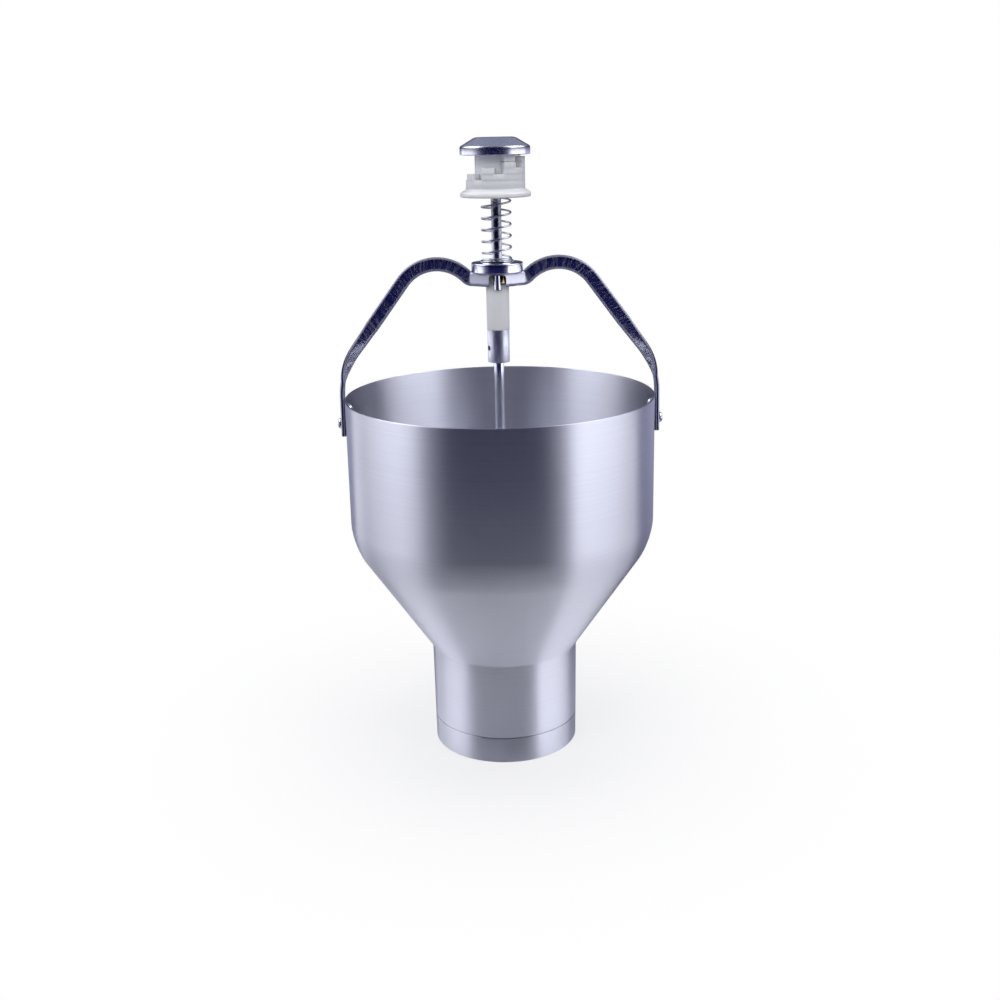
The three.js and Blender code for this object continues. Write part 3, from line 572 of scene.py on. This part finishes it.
steel = blend_colour(tree, smudge, (0.7, 0.71, 0.78), (0.63, 0.64, 0.71))
# Painted sheen: the margins take a dull lavender tone that stands in for the pale light along the
# pressed shoulders.
steel = blend_colour(tree, margin, steel, (0.36, 0.36, 0.5))
# Painted shade with some dirt: faces and edges close to the seam between the strips are darkened
# nearly to black.
depth = calculate(tree, "ABSOLUTE", along["Z"])
seam = remap(tree, depth, seam_shade_and_dirt[1] * MM, seam_shade_and_dirt[0] * MM)
set_surface(tree, {
    "Base Color": blend_colour(tree, seam, steel, (0.02, 0.02, 0.07)),
    "Metallic": span(tree, margin, 1.0, 0.6), "Roughness": rough,
    "Normal": relief(tree, hatch, span(tree, hatched, 0, 0.12), 0.00003),
})


def carve(shape, cutter, operation="DIFFERENCE"):
    """Cuts one shape with another, joins them, or keeps what they share."""
    bmesh.ops.recalc_face_normals(cutter, faces=cutter.faces)
    blanks = []
    for part in (shape, cutter):
        mesh = bpy.data.meshes.new("blank")
        part.to_mesh(mesh)
        blanks.append(bpy.data.objects.new("blank", mesh))
        scene.collection.objects.link(blanks[-1])
    tool = blanks[0].modifiers.new("carve", "BOOLEAN")
    tool.operation = operation
    tool.solver = "EXACT"
    tool.object = blanks[1]
    bpy.context.view_layer.update()
    shape.clear()
    shape.from_object(blanks[0], bpy.context.evaluated_depsgraph_get())
    cutter.free()
    for blank in blanks:
        mesh = blank.data
        bpy.data.objects.remove(blank)
        bpy.data.meshes.remove(mesh)
    return shape


def share_of(value, start, length):
    """How far a value is through a range, from 0 to 1."""
    return min(max((value - start) / length, 0), 1)


def handle_route(side):
    """Places along the left half of the seam: point, directions, twist and strip width."""
    places = []
    arch_x = -(crease_offset + math.sqrt(arch_radius ** 2 - arch_drop ** 2))
    arch_z = hub_bar_height - arch_drop

    def add(x, y, z, direction, width=strip_height):
        twist = (1 - share_of(z, twist_bottom, twist_length)) ** twist_easing
        if z > rim_height:
            width -= narrowing * math.sin(math.pi * share_of(z, narrow_bottom, narrow_length))
        places.append((Vector((x, y, z)), Vector(direction).normalized(), twist, width))

    # The tab has a rounded end and tapers up to the rim
    for i in range(7):
        turned_by = math.pi / 2 * i / 6
        rise = tab_corner * (1 - math.cos(turned_by))
        add(-tab_middle, 0, tab_bottom + rise, (0, 0, 1),
            tab_end_width - 2 * tab_corner * (1 - math.sin(turned_by)))
    for i in range(1, 5):
        share = i / 5
        corner_height = tab_bottom + tab_corner
        add(-tab_middle, 0, corner_height + share * (rim_height - corner_height), (0, 0, 1),
            tab_end_width + (strip_height - tab_end_width) * share)
    add(-tab_middle, 0, rim_height, (0, 0, 1))

    # The elbow leans the arm inwards until it is tangent to the arch
    across = arch_x + tab_middle
    upwards = arch_z - elbow_height
    lean = math.atan2(across, upwards) - math.asin(arch_radius / math.hypot(across, upwards))
    arm_end = Vector((arch_x - arch_radius * math.cos(lean), 0,
                      arch_z + arch_radius * math.sin(lean)))
    elbow_z = elbow_height - elbow_radius * math.tan(lean / 2)
    for i in range(33):
        bent = lean * i / 32
        add(-tab_middle + elbow_radius * (1 - math.cos(bent)), 0,
            elbow_z + elbow_radius * math.sin(bent), (math.sin(bent), 0, math.cos(bent)))
    elbow_end = places[-1][0]
    for i in range(1, 24):
        add(*elbow_end.lerp(arm_end, i / 24), (math.sin(lean), 0, math.cos(lean)))

    # The arch stops short of the crease, where a small bend leads into a straight flank
    arch_end = math.asin(arch_drop / arch_radius)
    last = arch_end + crease_bend / arch_radius
    for i in range(41):
        bent = math.pi - lean + (last - math.pi + lean) * i / 40
        add(arch_x + arch_radius * math.cos(bent), 0, arch_z + arch_radius * math.sin(bent),
            (math.sin(bent), 0, -math.cos(bent)))
    eye_centre = hub_sagitta - eye_radius
    flank = (math.asin(eye_radius / math.hypot(crease_offset, eye_centre))
             + math.atan2(eye_centre, crease_offset))
    crease = Vector((-crease_offset, 0, hub_bar_height))
    before = places[-1][0]
    after = crease + Vector((math.cos(flank), side * math.sin(flank), 0)) * crease_bend
    for i in range(1, 13):
        share = i / 12
        add(*(before * (1 - share) ** 2 + crease * 2 * share * (1 - share) + after * share ** 2),
            (crease - before) * (1 - share) + (after - crease) * share)

    # The flank is tangent to a round eye in front of or behind the hub
    for i in range(25):
        bent = flank * (1 - i / 24)
        add(-eye_radius * math.sin(bent), side * (eye_centre + eye_radius * math.cos(bent)),
            hub_bar_height, (math.cos(bent), side * math.sin(bent), 0))
    return places


def strip_axes(along, twist):
    """Directions through the strip's thickness and across its width."""
    through = Vector((0, 1, 0))
    through = (through - along * along.y).normalized()
    wide = along.cross(through)
    thick = through * math.cos(twist * math.pi / 2) + wide * math.sin(twist * math.pi / 2)
    return thick, along.cross(thick)


def strip_section(shape, side):
    """The rolled section of a strip: a flat inside and an outside with pressed shoulders."""
    half = strip_height / 2
    inside, outside = side * seam_half_gap, side * pack_half
    shoulder = outside - side * shoulder_depth
    corners = (
        (inside, -half, edge_setback), (inside, half, edge_setback), (shoulder, half, edge_setback),
        (outside, half - upper_shoulder, pressed_setback),
        (outside, lower_shoulder - half, pressed_setback), (shoulder, -half, edge_setback))
    points = [shape.verts.new((through, across, 0)) for through, across, _ in corners]
    shape.faces.new(points)
    for point, (_, _, setback) in zip(points, corners):
        bmesh.ops.bevel(shape, geom=[point], offset=setback, offset_type="OFFSET", segments=3,
                        profile=0.5, affect="VERTICES", material=-1)
    return shape.faces[:][0]


def box(width, depth, height):
    shape = bmesh.new()
    bmesh.ops.create_cube(shape, size=1)
    bmesh.ops.scale(shape, verts=shape.verts, vec=(width * MM, depth * MM, height * MM))
    return shape


for name, side, replaced in (("front_strip", -1, "handle_strip_front"),
                             ("back_strip", 1, "handle_strip_back")):
    shape = bmesh.new()
    route_layer = shape.verts.layers.float_vector.new("route")
    cap = strip_section(shape, side)
    section = [vert.co.copy() for vert in cap.verts]
    left_half = handle_route(side)
    stations = [(place, 1) for place in left_half]
    stations += [(place, -1) for place in reversed(left_half[:-1])]
    travelled = 0
    before = None
    for index, ((point, along, twist, width), hand) in enumerate(stations):
        thick, wide = strip_axes(along, twist)
        middle = Vector((point.x * hand, point.y, point.z))
        if before is not None:
            travelled += (middle - before).length
        before = middle
        if index:
            grown = bmesh.ops.extrude_face_region(shape, geom=[cap])
            cap = [item for item in grown["geom"] if isinstance(item, bmesh.types.BMFace)][0]
        for vert, (through, across, _) in zip(cap.verts, section):
            offset = thick * through + wide * (across * width / strip_height)
            vert.co = (middle + Vector((offset.x * hand, offset.y, offset.z))) * MM
            vert[route_layer] = Vector((travelled, across, through)) * MM
    ends = [edge for edge in shape.edges
            if all(vert.co.z < (tab_bottom + 0.01) * MM for vert in edge.verts)]
    soften(shape, ends, tab_end_rounding, 3, clamp_overlap=True)
    bmesh.ops.recalc_face_normals(shape, faces=shape.faces)
    notch = box(notch_width, notch_length, 2 * notch_depth)
    corners = [edge for edge in notch.edges if all(vert.co.z > 0 for vert in edge.verts)
               and abs(edge.verts[0].co.y - edge.verts[1].co.y) > 0.01]
    soften(notch, corners, notch_fillet, 6)
    move(notch, 0, 0, hub_bar_height - strip_height / 2)
    carve(shape, notch)
    finish(name, shape, "funnel", replaced, polished_strip)

# Rivets
# Solid aluminium rivets hold each tab to the wall. The upper pair is headed inside the hopper and
# the lower pair outside.
rivet_heights = {"upper": 231.7, "lower": 222.2}
shank_radius = 2
head_radius = 3.4
dome_height = 2.4
inner_dome = 3.2
flat_head = 0.7
flush_head = 0.2
head_edge = 0.3
tab_outside = tab_middle + pack_half
wall_inside = mouth_radius - hopper_wall

rivet_aluminium, tree = new_material("rivet_aluminium")
smudge = add_smudges(tree, 240.0, 0.8)
set_surface(tree, {
    "Base Color": blend_colour(tree, smudge, (0.76, 0.77, 0.81), (0.66, 0.67, 0.71)),
    "Metallic": 1.0, "Roughness": span(tree, smudge, 0.2, 0.4),
    "Normal": relief(tree, noise(tree, object_place(tree), 700.0, 2.0), 0.25, 0.00012),
})

rivet_corners = {
    "lower": [
        (0, wall_inside - flat_head), (head_radius, wall_inside - flat_head, 0.25, 3),
        (head_radius, wall_inside), (shank_radius, wall_inside), (shank_radius, tab_outside),
        (head_radius, tab_outside), (head_radius, tab_outside + head_edge),
        (head_radius, tab_outside + dome_height, 2.0, 10), (0, tab_outside + dome_height),
    ],
    "upper": [
        (0, wall_inside - inner_dome), (head_radius, wall_inside - inner_dome, 2.6, 10),
        (head_radius, wall_inside), (shank_radius, wall_inside),
        (shank_radius, tab_outside + flush_head, 0.15, 2), (0, tab_outside + flush_head),
    ],
}
for level_name, height in rivet_heights.items():
    for hand_name, hand in (("left", -1), ("right", 1)):
        shape = turn(profile(bmesh.new(), rivet_corners[level_name], is_ring=False), 48)
        swing(shape, math.pi / 2, "Y")
        if hand < 0:
            swing(shape, math.pi, "Z")
        move(shape, 0, 0, height)
        replaced = f"rivet_{level_name}_{hand_name}"
        finish(f"{level_name}_{hand_name}_rivet", shape, "funnel", replaced,
               rivet_aluminium)

# Hub collar
# A turned and chromed steel collar sits on the two bows. A raised disc carries the spring, and two
# notches in the rim take a spanner.
collar_radius = 16.3
collar_bottom = 318.3
collar_top = 324.05
disc_radius = 10.4
disc_top = 325.45
bush_radius = 5
fitting_gap = 0.15
collar_bore = bush_radius + fitting_gap
spanner_notch = (3.4, 2.4, 3.0)
notch_inset = 0.85

polished_steel = turned_metal(
    "polished_steel", rings=(2600.0, 30.0), shine=(0.12, 0.2), wear=0.1, smudges=(55.0, 0.5),
    bump=(0.06, 0.00004), colours=((0.8, 0.81, 0.86), (0.74, 0.75, 0.8)))
shape = turn(profile(bmesh.new(), [
    (collar_bore, collar_bottom), (collar_radius, collar_bottom, 0.3, 3),
    (collar_radius, collar_top, 0.6, 4), (disc_radius, collar_top, 0.2, 2),
    (disc_radius, disc_top, 0.3, 3), (collar_bore, disc_top),
]), 128)
for hand in (-1, 1):
    notch = box(*spanner_notch)
    move(notch, hand * (collar_radius - notch_inset), 0, collar_top)
    carve(shape, notch)
finish("collar", shape, "funnel", "hub_collar", polished_steel)

# Guide bush
# A brass bush pressed through the collar guides the rod, and its lower end stops the sleeve.
sliding_bore = 3.55
bush_bottom = 310.8
bush_top = disc_top + fitting_gap

yellow_brass = turned_metal(
    "yellow_brass", rings=(6500.0, 60.0), shine=(0.16, 0.36), wear=0, smudges=(150.0, 0.5),
    bump=(0.2, 0.00004), colours=((0.72, 0.55, 0.27), (0.5, 0.36, 0.17)))
finish("brass_bush", turn(profile(bmesh.new(), [
    (sliding_bore, bush_bottom, 0.2, 2), (bush_radius, bush_bottom, 0.3, 3),
    (bush_radius, bush_top, 0.15, 2), (sliding_bore, bush_top, 0.15, 2),
]), 64), "funnel", "guide_bush", yellow_brass)

# Guide pin
# A short steel pin hangs from the collar in front of the bush and keys the sleeve.
pin_radius = 2.05
pin_bottom = 307.5
pin_top = 320.65
pin_offset = 7.95

shape = turn(profile(bmesh.new(), [
    (0, pin_bottom), (pin_radius, pin_bottom, 0.3, 3), (pin_radius, pin_top), (0, pin_top),
], is_ring=False), 32)
move(shape, 0, -pin_offset, 0)
finish("steel_pin", shape, "funnel", "guide_pin", polished_steel)

# Return spring
# An open coil of drawn wire stands on the collar's disc and pushes the knob up. Its lowest turn
# lies flat and its top turns close up inside the barrel.
wire_radius = 0.6
coil_radius = 9.05
spring_bottom = disc_top + wire_radius + fitting_gap
spring_turns = ((0.45, 0), (8, 7.08), (1.1, 1.75))
steps_per_turn = 32

drawn_wire, tree = new_material("drawn_wire")
draw_marks = noise(tree, object_place(tree), 900.0, 3.0)
smudge = add_smudges(tree, 120.0, 0.6)
set_surface(tree, {
    "Base Color": blend_colour(tree, smudge, (0.62, 0.63, 0.69), (0.45, 0.45, 0.5)),
    "Metallic": 1.0, "Roughness": span(tree, draw_marks, 0.18, 0.42),
    "Normal": relief(tree, draw_marks, 0.15, 0.00005),
})
shape = bmesh.new()
bmesh.ops.create_circle(shape, segments=14, radius=wire_radius * MM)
swing(shape, math.pi / 2, "X")
move(shape, coil_radius, 0, spring_bottom)
swing(shape, -spring_turns[0][0] * 2 * math.pi, "Z")
end = {"geom_last": shape.verts[:] + shape.edges[:]}
for turns, rise in spring_turns:
    steps = max(round(turns * steps_per_turn), 2)
    end = bmesh.ops.spin(shape, geom=end["geom_last"], cent=(0, 0, 0), axis=(0, 0, 1),
                         dvec=(0, 0, rise * turns / steps * MM), angle=turns * 2 * math.pi,
                         steps=steps)
bmesh.ops.holes_fill(shape, edges=[edge for edge in shape.edges if edge.is_boundary], sides=0)
bmesh.ops.recalc_face_normals(shape, faces=shape.faces)
spring = finish("coil_spring", shape, "funnel", "return_spring", drawn_wire)
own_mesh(spring)

# Plunger rod
# A ground and polished steel rod runs from inside the knob down to the outlet.
rod_radius = 3.25
rod_bottom = 32
rod_top = 395.42

finish("polished_rod", turn(profile(bmesh.new(), [
    (0, rod_bottom), (rod_radius, rod_bottom, 0.5, 3), (rod_radius, rod_top, 0.4, 3),
    (0, rod_top),
], is_ring=False), 64), "plunger", "plunger_rod", polished_steel)

# Stop sleeve
# A white nylon sleeve on the rod stops under the bush. A keyway in its top takes the pin, and a
# crown on its left reaches up beside the bush.
sleeve_radius = 7.25
sleeve_bottom = 281.8
sleeve_top = 310.5
keyway = (4.7, 6, 6.8)
keyway_bottom = 5.6
crown_wall = (5.3, 6.95)
crown_foot = 310.2
crown_top = 315.7
crown_turn = (-155, -25)
crown_rounding = 0.3

milky_nylon, tree = new_material("milky_nylon")
place = object_place(tree)
cloud = noise(tree, place, 55.0, 3.0)
set_surface(tree, {
    "Base Color": blend_colour(tree, cloud, (0.86, 0.86, 0.88), (0.8, 0.8, 0.81)),
    "Roughness": span(tree, add_smudges(tree, 90.0, 0.5), 0.3, 0.46),
    "Normal": relief(tree, noise(tree, place, 1500.0, 2.0), 0.1, 0.00005),
    "Subsurface Weight": 0.5, "Subsurface Radius": (0.006, 0.005, 0.0035),
    "Subsurface Scale": 0.7, "IOR": 1.53,
})


def arc_block(inner, outer, bottom, top, start, end, steps):
    """Spins an upright rectangle through part of a turn; turns run from the front towards +X."""
    shape = bmesh.new()
    face = shape.faces.new([shape.verts.new((radius * MM, 0, height * MM)) for radius, height in (
        (inner, bottom), (outer, bottom), (outer, top), (inner, top))])
    swing(shape, math.radians(start - 90), "Z")
    bmesh.ops.spin(shape, geom=[face], cent=(0, 0, 0), axis=(0, 0, 1),
                   angle=math.radians(end - start), steps=steps)
    bmesh.ops.recalc_face_normals(shape, faces=shape.faces)
    return shape


shape = turn(profile(bmesh.new(), [
    (sliding_bore, sleeve_bottom), (sleeve_radius, sleeve_bottom, 0.3, 3),
    (sleeve_radius, sleeve_top, 0.4, 3), (sliding_bore, sleeve_top, 0.3, 2),
]), 80)
crown = arc_block(*crown_wall, crown_foot, crown_top, *crown_turn, 40)
edges = [edge for edge in crown.edges if edge.calc_face_angle(0) > sharp_angle
         and min(vert.co.z for vert in edge.verts) > (crown_top - crown_rounding) * MM]
soften(crown, edges, crown_rounding, 2)
carve(shape, crown, "UNION")
slot = box(*keyway)
move(slot, 0, -(keyway_bottom + keyway[1] / 2), sleeve_top)
carve(shape, slot)
finish("nylon_sleeve", shape, "plunger", "stop_sleeve", milky_nylon)

# Ferrule and grub screw
# A turned aluminium ferrule is clamped to the rod under the sleeve by a socket screw in its side.
ferrule_radius = 7
ferrule_bottom = 260.8
grub_turn = math.radians(206)
grub_height = 270.1
grub_hole_radius = 1.75
grub_hole_length = 7
grub_hole_middle = 7.2
grub_radius = 1.6
grub_length = 2.8
grub_middle = 4.8
socket_radius = 0.85
socket_depth = 0.9


def bar(radius, length, sides):
    """A round or many-sided bar on the axis."""
    shape = bmesh.new()
    bmesh.ops.create_cone(shape, cap_ends=True, segments=sides, radius1=radius * MM,
                          radius2=radius * MM, depth=length * MM)
    return shape


def set_aside(shape, reach):
    """Lays a bar down in the grub screw's place, so far from the rod's middle."""
    swing(shape, math.pi / 2, "Y")
    move(shape, reach, 0, grub_height)
    swing(shape, grub_turn, "Z")


satin_aluminium = turned_metal(
    "satin_aluminium", rings=(5200.0, 160.0), shine=(0.3, 0.44), wear=0.08, smudges=(170.0, 0.7),
    bump=(0.3, 0.00006), colours=((0.8, 0.81, 0.88), (0.7, 0.71, 0.78)))
shape = turn(profile(bmesh.new(), [
    (sliding_bore, ferrule_bottom, 0.2, 2), (ferrule_radius, ferrule_bottom, 0.5, 3),
    (ferrule_radius, sleeve_bottom, 0.4, 3), (sliding_bore, sleeve_bottom),
]), 80)
hole = bar(grub_hole_radius, grub_hole_length, 40)
set_aside(hole, grub_hole_middle)
carve(shape, hole)
finish("turned_ferrule", shape, "plunger", "ferrule", satin_aluminium)

blued_steel, tree = new_material("blued_steel")
smudge = add_smudges(tree, 400.0, 0.8)
set_surface(tree, {
    "Base Color": blend_colour(tree, smudge, (0.07, 0.07, 0.08), (0.16, 0.16, 0.17)),
    "Metallic": 1.0, "Roughness": span(tree, smudge, 0.3, 0.5),
})
shape = bar(grub_radius, grub_length, 36)
socket = bar(socket_radius, 2 * socket_depth, 6)
move(socket, 0, 0, grub_length / 2)
carve(shape, socket)
set_aside(shape, grub_middle)
finish("socket_screw", shape, "plunger", "grub_screw", blued_steel)

# Dosing piston, spacer and valve disc
# Two nylon discs on the rod, held apart by a steel tube: the upper one lets batter into the outlet
# as the plunger rises, and the lower one opens the outlet as it falls. Each has a rubber ring.
plate_radius = 24.8
plate_height = 5
ring_groove = 22.8
ring_middle = 24.05
groove_inset = 1.25
piston_bottom = 69
piston_top = 77
valve_bottom = 36
valve_top = valve_bottom + plate_height
spacer_radius = 6


def plate_corners(bottom):
    """The outside of a disc with a groove for a rubber ring, from its bottom up to its top."""
    top = bottom + plate_height
    return [
        (sliding_bore, bottom), (plate_radius, bottom, 0.5, 3),
        (plate_radius, bottom + groove_inset), (ring_groove, bottom + groove_inset),
        (ring_groove, top - groove_inset), (plate_radius, top - groove_inset),
        (plate_radius, top, 0.5, 3),
    ]


finish("piston_disc", turn(profile(bmesh.new(), plate_corners(piston_bottom) + [
    (8, piston_top, 0.6, 3), (sliding_bore, piston_top),
]), 96), "plunger", "dosing_piston", milky_nylon)
ring_seal("piston_ring", "plunger", "piston_seal", ring_middle, seal_thickness,
          piston_bottom + plate_height / 2)
finish("spacer", turn(profile(bmesh.new(), [
    (sliding_bore, valve_top), (spacer_radius, valve_top, 0.3, 2),
    (spacer_radius, piston_bottom, 0.3, 2), (sliding_bore, piston_bottom),
]), 48), "plunger", "spacer_tube", polished_steel)
finish("valve_plate", turn(profile(bmesh.new(), plate_corners(valve_bottom) + [
    (sliding_bore, valve_top),
]), 96), "plunger", "valve_disc", milky_nylon)
ring_seal("valve_ring", "plunger", "valve_seal", ring_middle, seal_thickness,
          valve_bottom + plate_height / 2)

# Bottom nut
# A plain steel nut on the rod's threaded end holds the stack together.
nut_corner_radius = 7.5
nut_face_radius = 6.6
nut_bottom = 31
nut_middle = (nut_bottom + valve_bottom) / 2
nut_chamfer = 0.6

shape = bar(nut_corner_radius, valve_bottom - nut_bottom, 6)
swing(shape, math.radians(30), "Z")
move(shape, 0, 0, nut_middle)
lens = turn(profile(bmesh.new(), [
    (0, nut_bottom), (nut_face_radius, nut_bottom),
    (nut_face_radius + 1, nut_bottom + nut_chamfer),
    (nut_face_radius + 1, valve_bottom - nut_chamfer), (nut_face_radius, valve_bottom),
    (0, valve_bottom),
], is_ring=False), 72)
carve(shape, lens, "INTERSECT")
hole = bar(sliding_bore, 12, 48)
move(hole, 0, 0, nut_middle)
carve(shape, hole)
finish("hex_nut", shape, "plunger", "bottom_nut", polished_steel)

# Lug barrel
# A moulded nylon barrel hangs under the knob and fills the dial. The lug on its side stands over
# one of the dial's steps and sets how far the plunger can go.
barrel_radius = 12.6
barrel_bore = 10.2
barrel_bottom = 364.5
barrel_ceiling = 386.22
knob_bottom = 389.42
lug_bottom = 385.62
lug_root = 11.4
lug_tip = 18.0
lug_start = 18
lug_end = 42
flange_end = 60
flange_thickness = 0.8
lug_rounding = 0.3

shape = turn(profile(bmesh.new(), [
    (barrel_bore, barrel_bottom, 0.3, 2), (barrel_radius, barrel_bottom, 0.5, 3),
    (barrel_radius, knob_bottom), (sliding_bore, knob_bottom), (sliding_bore, barrel_ceiling),
    (barrel_bore, barrel_ceiling),
]), 96)
for bottom, end in ((lug_bottom, lug_end), (knob_bottom - flange_thickness, flange_end)):
    block = arc_block(lug_root, lug_tip, bottom, knob_bottom, lug_start, end, 12)
    edges = [edge for edge in block.edges if edge.calc_face_angle(0) > sharp_angle
             and max(vert.co.z for vert in edge.verts) < (knob_bottom - 0.1) * MM]
    soften(block, edges, lug_rounding, 2)
    carve(shape, block, "UNION")
finish("nylon_barrel", shape, "plunger", "lug_barrel", milky_nylon)

# Knob
# A polished steel cap: a straight rim, a shallow cone and a flat top that the palm presses. Palms
# have worn its shine to a soft satin.
knob_radius = 21.8
knob_rim_top = 394.42
knob_flat_radius = 12.3
knob_top = 399.92
knob_bore_top = 395.72

satin_steel = turned_metal(
    "satin_steel", rings=(3600.0, 40.0), shine=(0.18, 0.26), wear=0.08, smudges=(70.0, 0.6),
    bump=(0.1, 0.00004), colours=((0.76, 0.77, 0.84), (0.68, 0.69, 0.77)))
finish("palm_knob", turn(profile(bmesh.new(), [
    (sliding_bore, knob_bottom), (knob_radius, knob_bottom, 0.6, 4),
    (knob_radius, knob_rim_top, 0.9, 6), (knob_flat_radius, knob_top, 1.6, 8), (0, knob_top),
    (0, knob_bore_top), (sliding_bore, knob_bore_top),
]), 128), "plunger", "knob", satin_steel)

# Dial ring
# A rubber ring in the dial's bore grips the barrel, so that the dial stays where it is turned.
grip_height = 368
grip_middle = 13.65
grip_thickness = 0.9

ring_seal("grip_ring", "dial_carrier", "dial_ring", grip_middle, grip_thickness, grip_height)

# Dose dial
# A moulded nylon dial turns on the barrel. Its wall climbs in six steps of 45 degrees, each with a
# flat for the lug and a pocket one step lower, above a flared foot.
dial_bore = 12.9
dial_wall = 18.4
dial_bottom = 364.2
foot_radius = 22
foot_top = 367
flare_top = 369
grip_groove = 14.85
groove_half = 1.05
step_heights = [369.9, 371.2, 374.73, 378.26, 381.79, 385.32, 388.32]
first_riser = -162
step_turn = 45
flat_turn = 25
step_rounding = 0.22

shape = profile(bmesh.new(), [
    (dial_bore, dial_bottom, 0.3, 3), (foot_radius, dial_bottom, 0.8, 4),
    (foot_radius, foot_top, 1.0, 4), (dial_wall, flare_top, 0.7, 4),
    (dial_wall, step_heights[0]), (dial_bore, step_heights[0]),
    (dial_bore, grip_height + groove_half), (grip_groove, grip_height + groove_half),
    (grip_groove, grip_height - groove_half), (dial_bore, grip_height - groove_half),
])
swing(shape, math.radians(first_riser - 90), "Z")
turn(shape, 144)
for index in range(1, len(step_heights)):
    raised = []
    for face in shape.faces:
        centre = face.calc_center_median()
        if face.normal.z < 0.9 or abs(centre.z - step_heights[index - 1] * MM) > 1e-5:
            continue
        bearing = (math.degrees(math.atan2(centre.x, -centre.y)) - first_riser) % 360
        step = int(bearing // step_turn) + 1
        if step >= len(step_heights):
            continue
        if (step if bearing % step_turn < flat_turn else step - 1) >= index:
            raised.append(face)
    grown = bmesh.ops.extrude_face_region(shape, geom=raised)
    risen = [item for item in grown["geom"] if isinstance(item, bmesh.types.BMVert)]
    bmesh.ops.translate(shape, verts=risen,
                        vec=(0, 0, (step_heights[index] - step_heights[index - 1]) * MM))
bmesh.ops.recalc_face_normals(shape, faces=shape.faces)
edges = [edge for edge in shape.edges if edge.calc_face_angle(0) > 0.7
         and min(vert.co.z for vert in edge.verts) > (step_heights[0] - 0.01) * MM]
soften(shape, edges, step_rounding, 2)
finish("stepped_dial", shape, "dial", "dose_dial", milky_nylon)
